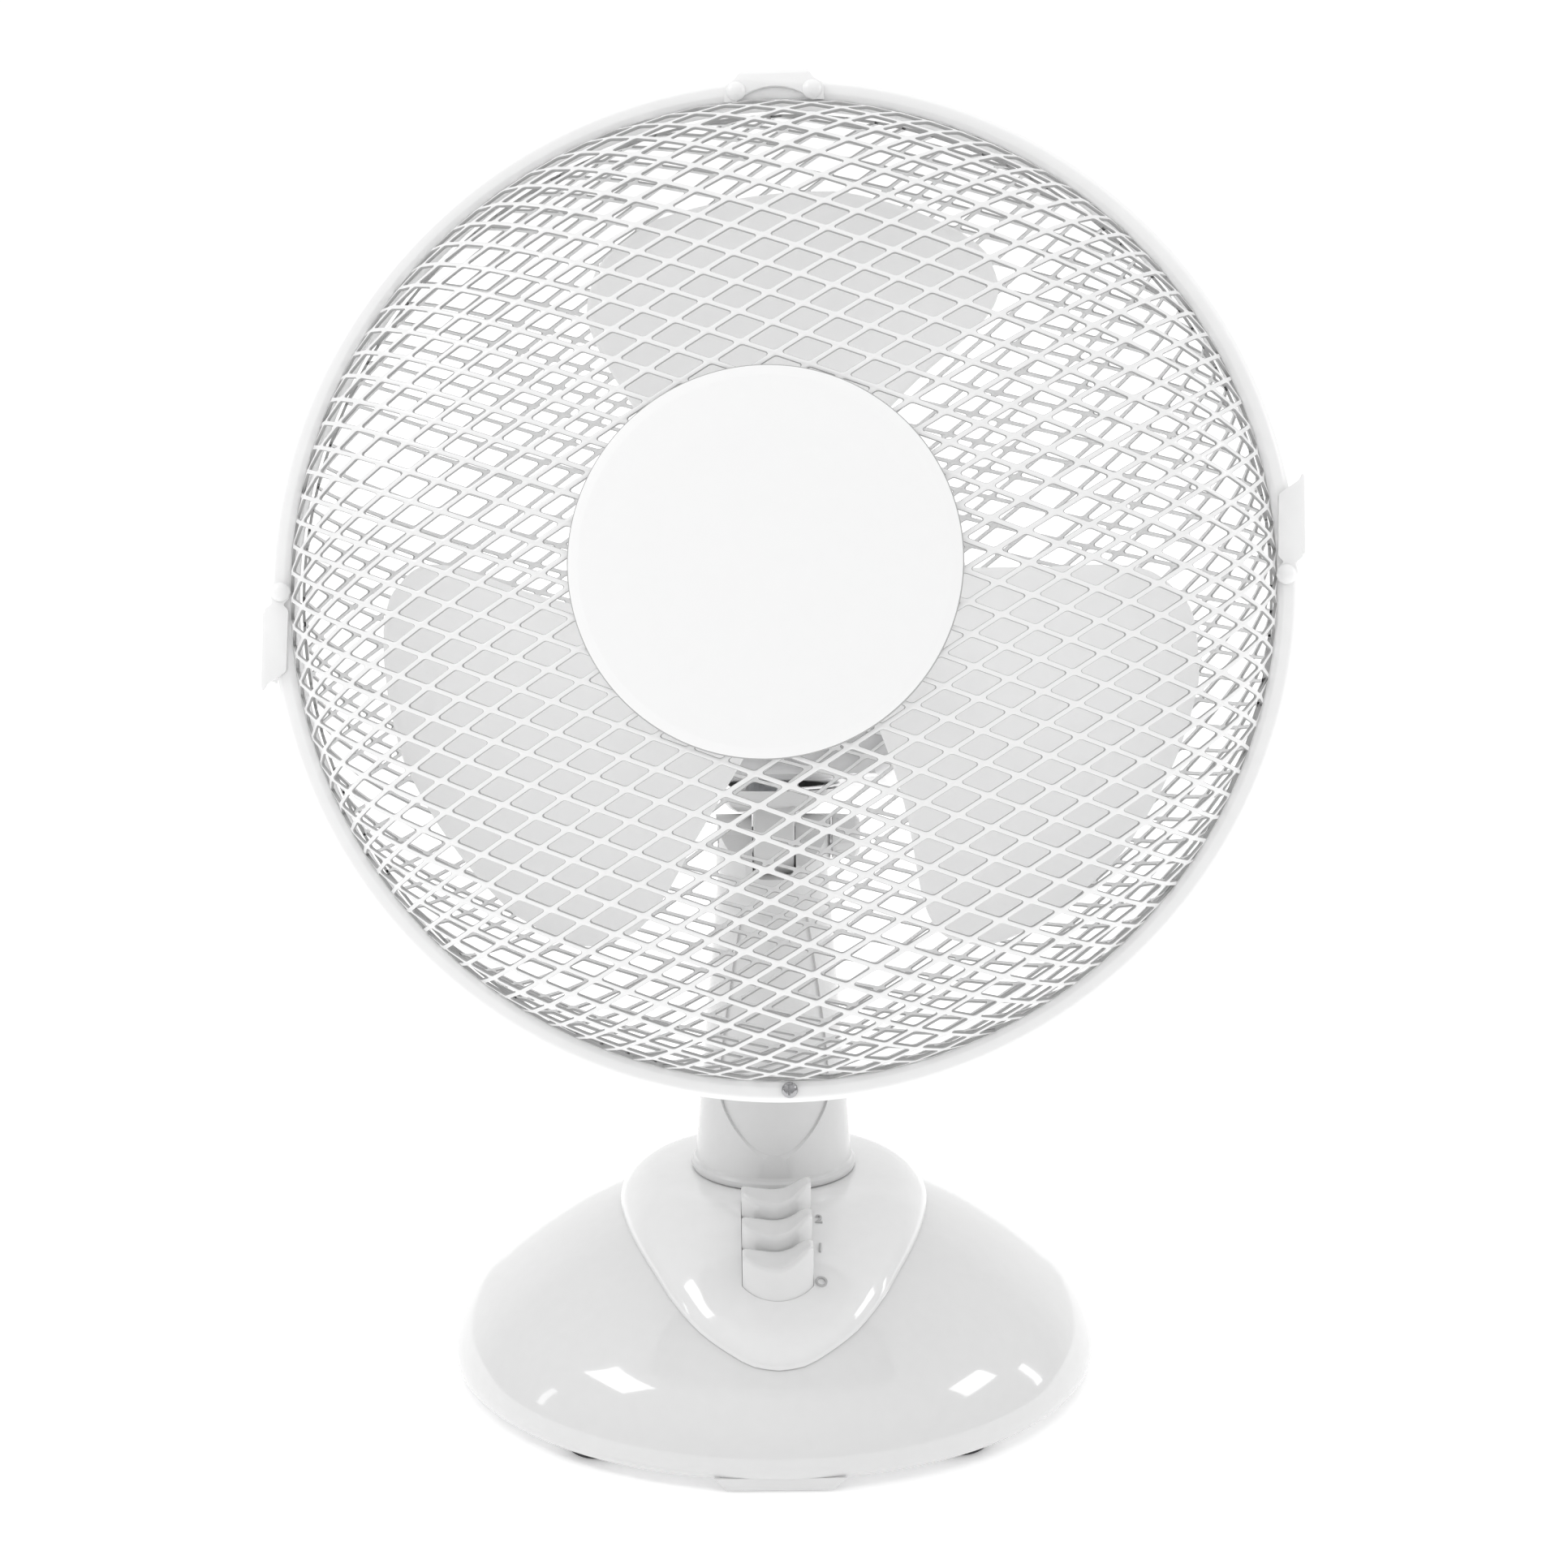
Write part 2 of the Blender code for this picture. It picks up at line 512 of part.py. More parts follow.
def guard_body(depth, power, inner, side, eye=None, spokes=14, levels=4, thick=1.0, strand=1.05):
    """An open lattice of diamonds pressed into a dome; side is -1 ahead of the joint, +1 behind."""
    fine = [inner + (RIM_IN - 0.35 - inner) * k / 200 for k in range(201)]
    arc = [0.0]
    for a, b in zip(fine, fine[1:]):
        rise = guard_depth(b, depth, power) - guard_depth(a, depth, power)
        arc.append(arc[-1] + math.hypot(b - a, rise))
    radii = []
    for level in range(levels + 1):
        wanted = arc[-1] * level / levels
        k = min(range(201), key=lambda index: abs(arc[index] - wanted))
        radii.append(fine[k])

    def skin(radius, angle, offset):
        step = 0.2
        low, high = max(radius - step, 0.0), min(radius + step, RIM_IN - 0.35)
        slope = (guard_depth(high, depth, power) - guard_depth(low, depth, power)) / (high - low)
        length = math.hypot(1.0, slope)
        out, along = -slope / length * offset, 1.0 / length * offset
        x, z = polar(radius + out, angle)
        return Vector((x, side * (guard_depth(radius, depth, power) + along + 1.2), z))

    bm = bmesh.new()
    nodes = {}
    for level, radius in enumerate(radii):
        for k in range(spokes):
            angle = 360.0 * (k + 0.5 * (level % 2)) / spokes
            nodes[level, k] = [bm.verts.new(skin(radius, angle, o * thick / 2)) for o in (1, -1)]

    def node(level, k):
        return nodes[level, k % spokes]

    def left_of(level, k):
        """The neighbour on the next level, half a step anticlockwise or level with k."""
        return k + (level % 2)

    cells = []
    for level in range(1, levels):
        for k in range(spokes):
            after = left_of(level, k)
            here, following = node(level, k), node(level, k + 1)
            cells.append([here, node(level + 1, after), following, node(level - 1, after)])
    for k in range(spokes):
        cells.append([node(0, k), node(1, left_of(0, k)), node(0, k + 1)])
        top = levels
        cells.append([node(top, k), node(top, k + 1), node(top - 1, left_of(top, k))])
    for cell in cells:
        count = len(cell)
        rings = []
        for layer in (0, 1):
            corners = [pair[layer].co.copy() for pair in cell]
            lengths = [(corners[k] - corners[k - 1]).length for k in range(count)]
            area = sum(
                (corners[k] - corners[0]).cross(corners[k + 1] - corners[0]).length / 2
                for k in range(1, count - 1)
            )
            inradius = 2 * area / sum(lengths)
            if count == 3:
                opposite = [(corners[k - 1] - corners[k - 2]).length for k in range(3)]
                middle = sum((c * w for c, w in zip(corners, opposite)), Vector()) / sum(opposite)
            else:
                middle = sum(corners, Vector()) / count
            share = min(strand / inradius, 0.75)
            rings.append([bm.verts.new(c.lerp(middle, share)) for c in corners])
        for k in range(count):
            n = (k + 1) % count
            bm.faces.new((cell[k][0], cell[n][0], rings[0][n], rings[0][k]))
            bm.faces.new((cell[k][1], rings[1][k], rings[1][n], cell[n][1]))
            bm.faces.new((rings[0][k], rings[0][n], rings[1][n], rings[1][k]))
    for k in range(spokes):
        bm.faces.new((*node(levels, k), *reversed(node(levels, k + 1))))
    if eye is None:
        for k in range(spokes):
            bm.faces.new((*node(0, k), *reversed(node(0, k + 1))))
        return bm
    ring = []
    for k in range(spokes):
        ring.append([])
        for layer in (0, 1):
            x, z = polar(eye, 360.0 * k / spokes)
            ring[k].append(bm.verts.new((x, node(0, k)[layer].co.y, z)))
    for k in range(spokes):
        n = (k + 1) % spokes
        bm.faces.new((node(0, k)[0], node(0, n)[0], ring[n][0], ring[k][0]))
        bm.faces.new((node(0, k)[1], ring[k][1], ring[n][1], node(0, n)[1]))
        bm.faces.new((ring[k][0], ring[n][0], ring[n][1], ring[k][1]))
    return bm


front_guard = guard_body(FRONT_DEPTH, FRONT_POWER, 47.0, -1)
piece("front_grille", front_guard, "guard_white", head_frame)
rear_guard = guard_body(REAR_DEPTH, REAR_POWER, 34.0, 1, eye=21.0)
piece("rear_grille", rear_guard, "guard_white", head_frame)

crown = guard_depth(47.0, FRONT_DEPTH, FRONT_POWER) + 1.2
disc_profile = [
    (0, -crown - 0.9), (DISC_RADIUS - 0.6, -crown - 0.9), (DISC_RADIUS, -crown - 1.4),
    (DISC_RADIUS - 0.4, -crown - 2.1), (DISC_RADIUS - 2.4, -crown - 2.7),
    (36.0, -crown - 3.6), (18.0, -crown - 4.2), (0, -crown - 4.4),
]
piece("centre_disc", revolve(disc_profile, 40, "Y"), "gloss_white", head_frame)

rim_front_profile = [
    (RIM_IN, -0.3), (RIM_IN, -5.2), (135.8, -6.4), (138.6, -6.4), (RIM_OUT, -0.3)]
rim_rear_profile = [(radius, -height) for radius, height in rim_front_profile]
rim_front = piece("rim_front", revolve(rim_front_profile, 56, "Y"), "guard_white", head_frame)
rim_rear = piece("rim_rear", revolve(rim_rear_profile, 56, "Y"), "guard_white", head_frame)

# ---------------------------------------------------------------- rim clips, rivets and screw
RIVET_CIRCLE = 136.6     # rivets and screw in the rims
clip_rivets = [polar(RIVET_CIRCLE, 90 + 4.4 * sign) for sign in (1, -1)]
latch_rivets = [polar(RIVET_CIRCLE, 180.0), polar(RIVET_CIRCLE, 0.0)]
screw_spot = polar(RIVET_CIRCLE, -89.0)


def bored(spots, radius, low, high):
    return merge(*[shifted(cylinder(radius, low, high, 12, "Y"), (x, 0, z)) for x, z in spots])


rivet_holes = tool("rivet_holes", bored(clip_rivets + latch_rivets, 1.55, -12, -2.0), head_frame)
screw_hole = tool("screw_hole", bored([screw_spot], 1.75, -12, 12), head_frame)
combine(rim_front, rivet_holes)
combine(rim_front, screw_hole)
combine(rim_rear, screw_hole)

hook_side = [
    (-8.0, 133.6), (-8.0, 141.0), (-7.4, 142.2), (6.9, 142.2), (7.6, 141.4), (7.6, 137.6),
    (6.6, 137.6), (6.6, 140.9), (-6.9, 140.9), (-6.9, 133.6),
]
hook = piece("top_hook", prism(hook_side, -14.0, 14.0, "YZ"), "guard_white", head_frame)
side_left = [(-25, 160), (-25, 120), (-12.6, 120), (-13.6, 137.4), (-10.6, 140.3), (-9.0, 141.3), (-8.6, 160)]
side_right = [(-x, z) for x, z in side_left]
hook_arch = shifted(cylinder(15.5, -9, 0, 32, "Y"), (0.0, 0.0, 122.0))
for label, body in (
    ("hook_left", prism(side_left, -12, 12, "XZ")),
    ("hook_right", prism(side_right, -12, 12, "XZ")),
    ("hook_arch", hook_arch),
):
    combine(hook, tool(label, body, head_frame))
hook_bores = [shifted(cylinder(1.55, -12, -5, 12, "Y"), (x, 0, z)) for x, z in clip_rivets]
combine(hook, tool("hook_bores", merge(*hook_bores), head_frame))

RIVET = [(0, -10.3), (1.6, -10.0), (2.7, -8.3), (1.25, -8.3), (1.25, -2.6), (0, -2.6)]
for label, spot in (
    ("hook_rivet_left", clip_rivets[0]), ("hook_rivet_right", clip_rivets[1]),
    ("latch_rivet_left", latch_rivets[0]), ("latch_rivet_right", latch_rivets[1]),
):
    piece(label, revolve(RIVET, 12, "Y"), "guard_white", head_frame, (spot[0], 0, spot[1]))


def latch_body(flip):
    """A clip hanging from its rivet: an eye, a lever over the rim's edge and a lip behind it."""
    lever = [(-1.6, 1.2), (-3.6, -1.0), (-4.4, -4.6), (-5.2, -24.5), (-5.0, -28.2), (-3.6, -25.6),
             (1.9, -21.6), (2.1, -4.4), (1.8, -1.2), (1.2, 1.2)]
    lever = [(flip * x, flip * z) for x, z in lever]
    return prism(lever, -8.0, -6.9, "XZ")


for label, spot, flip in (("left", latch_rivets[0], 1), ("right", latch_rivets[1], -1)):
    at = (spot[0], 0, spot[1])
    latch = piece(f"latch_{label}", latch_body(flip), "guard_white", head_frame, at)
    eye = cylinder(2.9, -8.0, -6.9, 20, "Y")
    combine(latch, tool(f"latch_eye_{label}", eye, head_frame, at), "UNION")
    wall = [(-5.0, -5.5), (-3.8, -5.5), (-4.3, -23.5), (-5.2, -23.5)]
    wall = [(flip * x, flip * z) for x, z in wall]
    fold = tool(f"latch_fold_{label}", prism(wall, -7.4, 7.9, "XZ"), head_frame, at)
    combine(latch, fold, "UNION")
    lip = [(-4.9, -7.0), (0.4, -7.0), (-0.2, -22.0), (-5.1, -22.0)]
    lip = [(flip * x, flip * z) for x, z in lip]
    back = tool(f"latch_lip_{label}", prism(lip, 6.9, 7.9, "XZ"), head_frame, at)
    combine(latch, back, "UNION")
    bore = cylinder(1.55, -12, -5, 12, "Y")
    combine(latch, tool(f"latch_bore_{label}", bore, head_frame, at))

screw_profile = [
    (0, -8.0), (1.0, -8.6), (1.9, -8.2), (2.2, -6.8), (1.45, -6.8), (1.45, 9.6), (0, 9.9)]
rim_screw = piece("rim_screw", revolve(screw_profile, 16, "Y"), "chrome", head_frame,
                  (screw_spot[0], 0, screw_spot[1]))
cross = [(0.3, 0.3), (0.3, 1.5), (-0.3, 1.5), (-0.3, 0.3), (-1.5, 0.3), (-1.5, -0.3)]
cross += [(-x, -z) for x, z in cross]
recess = prism(cross, -9.4, -7.7, "XZ")
combine(rim_screw, tool("screw_cross", recess, head_frame, (screw_spot[0], 0, screw_spot[1])))
nut_bm = revolve([(1.75, 6.8), (2.9, 6.8), (2.9, 9.0), (1.75, 9.0)], 6, "Y")
piece("rim_nut", nut_bm, "bright_steel", head_frame, (screw_spot[0], 0, screw_spot[1]))


# ---------------------------------------------------------------- impeller
def blade_body(turn):
    """One twisted blade as a thin closed skin, turned about the shaft."""
    stations = 6
    bm = bmesh.new()
    skins = []
    for side in (-0.7, 0.7):
        rows = []
        for radius, lead, trail in BLADE_EDGES:
            row = []
            for k in range(stations):
                share = k / (stations - 1)
                angle = lead + (trail - lead) * share
                camber = 2.4 * (1 - (2 * share - 1) ** 2)
                y = BLADE_MIDDLE + BLADE_SLOPE * (angle - 92.0) + camber + side
                x, z = polar(radius, angle + turn)
                row.append(bm.verts.new((x, y, z)))
            rows.append(row)
        skins.append(rows)
    last = len(BLADE_EDGES) - 1
    for i in range(last):
        for k in range(stations - 1):
            for rows in skins:
                bm.faces.new((rows[i][k], rows[i][k + 1], rows[i + 1][k + 1], rows[i + 1][k]))
        for k in (0, -1):
            a, b = skins[0], skins[1]
            bm.faces.new((a[i][k], a[i + 1][k], b[i + 1][k], b[i][k]))
    for k in range(stations - 1):
        for i in (0, last):
            a, b = skins[0], skins[1]
            bm.faces.new((a[i][k], b[i][k], b[i][k + 1], a[i][k + 1]))
    return bm


hub_profile = [
    (4.3, 13.6), (14.0, 13.6), (18.0, 15.0), (19.8, 19.0), (19.8, 47.0), (17.4, 47.0),
    (17.4, 21.0), (8.0, 21.0), (8.0, 44.0), (4.3, 44.0),
]
impeller = piece("impeller", revolve(hub_profile, 20, "Y"), "blade_grey", head_frame)
for number, turn in enumerate((0.0, 120.0, 240.0)):
    combine(impeller, tool(f"blade_{number}", blade_body(turn), head_frame), "UNION")

nut_outline = [polar(11.0 if k % 2 else 12.4, 30.0 * k / 2) for k in range(24)]
blade_nut = piece("blade_nut", prism(nut_outline, 3.0, 13.2, "XZ"), "blade_grey", head_frame)
combine(blade_nut, tool("nut_thread", cylinder(4.3, 6.0, 15.0, 16, "Y"), head_frame))

# ---------------------------------------------------------------- motor
shaft_profile = [(0, 6.4), (SHAFT_RADIUS, 6.4), (SHAFT_RADIUS, 128.0), (0, 128.0)]
piece("motor_shaft", revolve(shaft_profile, 16, "Y"), "bright_steel", head_frame)
piece("rotor_core", sleeve(4.3, 17.6, 77.0, 93.0, 20, "Y"), "core_steel", head_frame)
stator = piece("stator_core", sleeve(18.2, STATOR_RADIUS, 77.0, 93.0, 24, "Y"), "core_steel", head_frame)
WINDING = [(20.5, 0.0), (20.5, 4.6), (23.0, 6.0), (28.0, 6.0), (30.6, 4.6), (30.6, 0.0)]
front_coil = revolve([(radius, 76.6 - height) for radius, height in WINDING], 20, "Y")
rear_coil = revolve([(radius, 93.4 + height) for radius, height in WINDING], 20, "Y")
piece("winding_front", front_coil, "copper_wire", head_frame)
piece("winding_rear", rear_coil, "copper_wire", head_frame)

front_bell = [
    (4.3, 66.8), (30.0, 66.8), (STATOR_RADIUS, 69.5), (STATOR_RADIUS, 76.7), (31.2, 76.7),
    (31.2, 70.0), (8.0, 69.0), (7.0, 72.5), (4.3, 72.5),
]
rear_bell = [
    (4.3, 101.4), (30.0, 101.4), (STATOR_RADIUS, 100.0), (STATOR_RADIUS, 93.3), (31.2, 93.3),
    (31.2, 99.9), (8.0, 99.2), (7.0, 96.6), (4.3, 96.6),
]
bell_front = piece("bell_front", revolve(front_bell, 24, "Y"), "cast_alloy", head_frame)
bell_rear = piece("bell_rear", revolve(rear_bell, 24, "Y"), "cast_alloy", head_frame)

SWING_AXIS = (-AXIS_OFFSET, GUARD_FORWARD)
web = block(-20.0, 0.0, 93.6, 95.4, -44.2, -33.0)
arm = block(-16.0, -5.0, 93.6, 100.0, -44.2, -39.6)
barrel = cylinder(7.5, -51.0, -39.0, 24, centre=SWING_AXIS)
for label, body in (("swing_web", web), ("swing_arm", arm), ("swing_barrel", barrel)):
    combine(bell_rear, tool(label, body, head_frame), "UNION")
swing_bore = cylinder(4.35, -55.0, -36.0, 20, centre=SWING_AXIS)
combine(bell_rear, tool("swing_bore", swing_bore, head_frame))

bolt_spots = [polar(34.2, 45.0), polar(34.2, 225.0)]
bolt_holes = tool("motor_bolt_holes", bored(bolt_spots, 2.0, 69.0, 106.0), head_frame)
for body in (stator, bell_front, bell_rear):
    combine(body, bolt_holes)
MOTOR_BOLT = [(0, 104.0), (2.6, 103.8), (2.8, 101.5), (1.7, 101.5), (1.7, 70.0), (0, 69.6)]
for number, (x, z) in enumerate(bolt_spots, 1):
    motor_bolt = revolve(MOTOR_BOLT, 12, "Y")
    piece(f"motor_bolt_{number}", motor_bolt, "bright_steel", head_frame, (x, 0, z))

# ---------------------------------------------------------------- swing gearbox
worm_outside = [(4.25, 108.0), (5.0, 108.0)]
for turn in range(5):
    worm_outside += [(5.4, 109.6 + 3.2 * turn), (4.7, 111.2 + 3.2 * turn)]
worm_outside += [(5.0, 125.0), (4.25, 125.0)]
piece("worm", revolve(worm_outside, 12, "Y"), "brass", head_frame)

case = piece("gearbox_case", block(-19.0, 34.6, 101.8, 136.0, -30.0, 8.0), "inner_plastic", head_frame)
hollows = tool("case_hollow", block(-17.2, 32.8, 103.4, 134.2, -28.2, 10.0), head_frame)
combine(case, hollows)
case_post = cylinder(4.2, 134.5, 152.0, 16, "Y")
combine(case, tool("case_post", case_post, head_frame), "UNION")
case_bores = merge(
    cylinder(4.6, 100.0, 110.0, 20, "Y"),
    cylinder(1.8, 140.0, 156.0, 12, "Y"),
    cylinder(3.4, -34.0, -20.0, 16, centre=CRANK_AT),
)
combine(case, tool("case_bores", case_bores, head_frame))
lid = piece("gearbox_lid", block(-19.0, 34.6, 101.8, 136.0, 8.3, 10.3), "inner_plastic", head_frame)
combine(lid, tool("lid_bore", cylinder(3.4, 5.0, 14.0, 16, centre=WHEEL_AT), head_frame))

wheel = piece("worm_wheel", prism(gear_outline(24, 11.6, 12.6), -4.0, 4.0), "acetal", head_frame,
              (WHEEL_AT[0], WHEEL_AT[1], 0))
combine(wheel, tool("wheel_bore", cylinder(3.3, -8, 8, 16), head_frame, (*WHEEL_AT, 0)))
spindle_profile = [(0, -25.0), (3.0, -25.0), (3.0, 60.0), (2.4, 60.6), (0, 60.6)]
spindle = piece("clutch_spindle", revolve(spindle_profile, 16), "bright_steel", head_frame,
                (*WHEEL_AT, 0))
pinion = prism(gear_outline(9, 3.3, 4.4), -24.0, -13.0)
combine(spindle, tool("pinion", pinion, head_frame, (*WHEEL_AT, 0)), "UNION")
clutch_profile = [
    (0, 61.4), (3.3, 61.4), (3.3, 51.6), (5.6, 51.6), (6.2, 54.0), (5.4, 58.0), (7.2, 62.0),
    (7.0, 64.6), (5.0, 65.8), (0, 66.0),
]
piece("clutch_knob", revolve(clutch_profile, 16), "gloss_white", head_frame, (*WHEEL_AT, 0))

crank_wheel = piece("crank_gear", prism(gear_outline(24, 13.6, 14.6), -23.0, -16.0), "acetal",
                    head_frame, (*CRANK_AT, 0))
crank_post = merge(cylinder(3.0, -31.5, -20.0, 16))
combine(crank_wheel, tool("crank_post", crank_post, head_frame, (*CRANK_AT, 0)), "UNION")
crank_disc = cylinder(9.6, -32.8, -30.5, 24)
combine(crank_wheel, tool("crank_disc", crank_disc, head_frame, (*CRANK_AT, 0)), "UNION")
pin_offset = polar(CRANK_THROW, CRANK_ANGLE)
crank_pin = cylinder(1.6, -34.8, -32.0, 12, centre=pin_offset)
combine(crank_wheel, tool("crank_pin", crank_pin, head_frame, (*CRANK_AT, 0)), "UNION")

turned = math.radians(SWING)
stud_in_head = (
    SWING_AXIS[0] + stud_spot[0] * math.cos(turned) - stud_spot[1] * math.sin(turned),
    SWING_AXIS[1] + stud_spot[0] * math.sin(turned) + stud_spot[1] * math.cos(turned),
)
pin_at = (CRANK_AT[0] + pin_offset[0], CRANK_AT[1] + pin_offset[1])
reach = (stud_in_head[0] - pin_at[0], stud_in_head[1] - pin_at[1])
span = math.hypot(*reach)
heading = math.degrees(math.atan2(reach[1], reach[0]))
link_outline = [polar(3.4, heading + angle) for angle in range(90, 271, 30)]
for angle in range(-90, 91, 30):
    x, y = polar(3.4, heading + angle)
    link_outline.append((reach[0] + x, reach[1] + y))
link = piece("link_arm", prism(link_outline, -34.9, -33.2), "bright_steel", head_frame, (*pin_at, 0))
link_holes = merge(cylinder(1.9, -37, -31, 12), cylinder(2.1, -37, -31, 12, centre=reach))
combine(link, tool("link_holes", link_holes, head_frame, (*pin_at, 0)))

# ---------------------------------------------------------------- motor covers
cover_outside = [
    (0, 160.0), (20.0, 159.6), (34.0, 156.0), (44.0, 149.0), (49.6, 139.0), (52.0, 126.0),
    (HOUSING_RADIUS, 80.4), (0, 80.4),
]
cover_inside = [
    (0, 157.6), (19.5, 157.3), (38.0, 151.0), (47.4, 138.0), (49.8, 125.6), (49.8, 78.0), (0, 78.0),
]
cover_rear = piece("cover_rear", revolve(cover_outside, 36, "Y"), "gloss_white", head_frame)
combine(cover_rear, tool("cover_flat", block(-80, 80, 60, 190, -HOUSING_FLAT, 80), head_frame), "INTERSECT")
cover_hollow = tool("cover_hollow", revolve(cover_inside, 36, "Y"), head_frame)
combine(cover_hollow, tool("hollow_flat", block(-80, 80, 60, 190, -44.0, 80), head_frame), "INTERSECT")
combine(cover_rear, cover_hollow)
openings = merge(
    cylinder(15.6, -50.0, -40.0, 32, centre=SWING_AXIS),
    cylinder(3.7, 40.0, 60.0, 16, centre=WHEEL_AT),
    cylinder(2.0, 150.0, 165.0, 12, "Y"),
)
combine(cover_rear, tool("cover_openings", openings, head_frame))
vent_slots = []
for row in range(-3, 4):
    if row != 0:
        half = 24.0 - 1.6 * abs(row)
        vent_slots.append(block(-half, half, 150.0, 170.0, 6.4 * row - 1.1, 6.4 * row + 1.1))
combine(cover_rear, tool("vent_slots", merge(*vent_slots), head_frame))
COVER_SCREW = [(0, 162.0), (2.4, 161.8), (3.0, 160.3), (1.5, 160.3), (1.5, 143.0), (0, 142.4)]
piece("cover_screw", revolve(COVER_SCREW, 12, "Y"), "bright_steel", head_frame)

front_outside = [
    (7.5, 54.5), (19.6, 54.5), (19.6, 64.2), (46.0, 64.2), (50.8, 66.0), (HOUSING_RADIUS, 70.0),
    (HOUSING_RADIUS, 80.1), (49.8, 80.1), (49.8, 70.4), (45.4, 66.4), (7.5, 66.4),
]
cover_front = piece("cover_front", revolve(front_outside, 36, "Y"), "gloss_white", head_frame)
front_flat = block(-80, 80, 50, 190, -HOUSING_FLAT, 80)
combine(cover_front, tool("front_flat", front_flat, head_frame), "INTERSECT")
sill = block(-22.5, 22.5, 65.6, 80.1, -HOUSING_FLAT, -44.0)
combine(cover_front, tool("front_sill", sill, head_frame), "UNION")

ring_outline = [polar(28.6 if k % 2 else 30.0, 15.0 * k) for k in range(24)]
ring_nut = piece("guard_nut", prism(ring_outline, 55.5, 61.4, "XZ"), "gloss_white", head_frame)
combine(ring_nut, tool("guard_thread", cylinder(20.0, 50.0, 66.0, 24, "Y"), head_frame))
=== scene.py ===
"""Looks of the desk fan: fine meshes, materials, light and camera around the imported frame.

Pieces are drawn in millimetres in the space of the part they belong to (the neck, the tilting
bracket or the head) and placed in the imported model's frame, in metres.
"""

import json
import math

import bmesh
import bpy
from mathutils import Matrix, Vector


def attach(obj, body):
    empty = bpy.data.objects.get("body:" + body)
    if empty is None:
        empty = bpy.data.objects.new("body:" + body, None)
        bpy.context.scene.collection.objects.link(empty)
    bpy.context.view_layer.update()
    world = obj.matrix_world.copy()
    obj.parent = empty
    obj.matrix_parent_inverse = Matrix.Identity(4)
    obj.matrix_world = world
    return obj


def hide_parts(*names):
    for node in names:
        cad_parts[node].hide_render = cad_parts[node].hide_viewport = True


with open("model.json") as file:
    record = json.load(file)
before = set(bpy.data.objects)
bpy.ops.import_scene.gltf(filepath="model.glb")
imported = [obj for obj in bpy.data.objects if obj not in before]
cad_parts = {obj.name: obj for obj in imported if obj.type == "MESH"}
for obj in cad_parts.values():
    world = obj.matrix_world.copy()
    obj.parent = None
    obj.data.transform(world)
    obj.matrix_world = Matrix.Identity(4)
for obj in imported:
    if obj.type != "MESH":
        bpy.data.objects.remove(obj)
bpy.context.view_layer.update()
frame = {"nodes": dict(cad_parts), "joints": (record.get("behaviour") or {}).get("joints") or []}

MM = 0.001
joints = {joint["name"]: joint for joint in frame["joints"]}

# ---------------------------------------------------------------- the spaces pieces are drawn in
pivot = Vector(joints["tilt"]["pos_m"])
rise = Vector(joints["head_swing"]["axis"])
back = -Vector(joints["rotor_spin"]["axis"])
ROTOR_POINT = 30.0       # the spin joint's point lies this far behind the guard joint


def space(origin, x, y, z):
    """A matrix that takes millimetres along three directions to the frame's metres."""
    made = Matrix((x, y, z)).transposed().to_4x4()
    made.translation = origin
    return made @ Matrix.Scale(MM, 4)


X, Y, Z = Vector((1, 0, 0)), Vector((0, 1, 0)), Vector((0, 0, 1))
neck_space = space(Vector((pivot.x, pivot.y, 0.0)), X, Y, Z)
bolt_space = space(pivot, X, Y, Z)
tilt_space = space(pivot, X, rise.cross(X), rise)
head_origin = Vector(joints["rotor_spin"]["pos_m"]) - back * ROTOR_POINT * MM
head_space = space(head_origin, back.cross(rise), back, rise)
PIVOT_Z = pivot.z / MM

# ---------------------------------------------------------------- dimensions (mm)
PANEL_TOP = 63.2
PANEL_BULGE = 6.3
TOP_EASE = 0.9           # how softly the panel meets its flat top
PANEL_REACH = [          # degrees from the front, distance from the neck's axis
    (0, 85.3), (5, 84.4), (10, 81.4), (17.4, 76.3), (26, 69.3), (37, 61.1), (51.5, 54.2),
    (68.5, 49.6), (88, 47.8), (106, 47.6), (125, 47.0), (150, 45.0), (180, 44.0),
]
SLOT_GAP = 0.12          # between a key and its slot
SLOT_HALF = 10.52        # half the width of the key slot
SLOT_BACK = -33.2
BUTTON_HALF = 10.4
BUTTON_FRONT = -70.0
BUTTON_PITCH = 12.6
BUTTON_RISE = 5.05
BUTTON_TOP = 60.0
BUTTON_DEPTH = 10.6
KEY_ROUND = 13.3         # radius of a key's bowed front, seen from above
KEY_AHEAD = 1.4          # how far the bow reaches ahead of the key's place
NECK_FOOT = 24.3
NECK_TOP = 17.2
FOOT_LEVEL = 66.7        # heights where the neck has its foot and top radius
TOP_LEVEL = 153.2
NECK_HOLE = 19.7         # radius of the opening in base and panel
RIM_OUT = 140.0
RIM_IN = 134.3
FRONT_DEPTH = 47.3
REAR_DEPTH = 62.0
FRONT_POWER = 2.8
REAR_POWER = 3.6
SKIN = 1.2               # guards start this far from the joint plane
DISC_RADIUS = 51.4
RIVET_CIRCLE = 136.6
BLADE_MIDDLE = 28.0
BLADE_SLOPE = 0.25       # millimetres of depth per degree around the hub
BLADE_CAMBER = 2.4
BLADE_EDGES = [          # radius, leading angle, trailing angle of the blade that points up
    (18.2, 73, 141), (48, 64, 132), (70, 58.5, 128), (90, 54.3, 126.4), (102, 54, 124.6),
    (109, 57, 121.4), (114, 63, 117.6), (117.6, 82, 108.5),
]
HOUSING_RADIUS = 52.0
HOUSING_FLAT = 46.0
SWING_AXIS = (-10.5, 102.7)
WHEEL_AT = (18.2, 118.8)

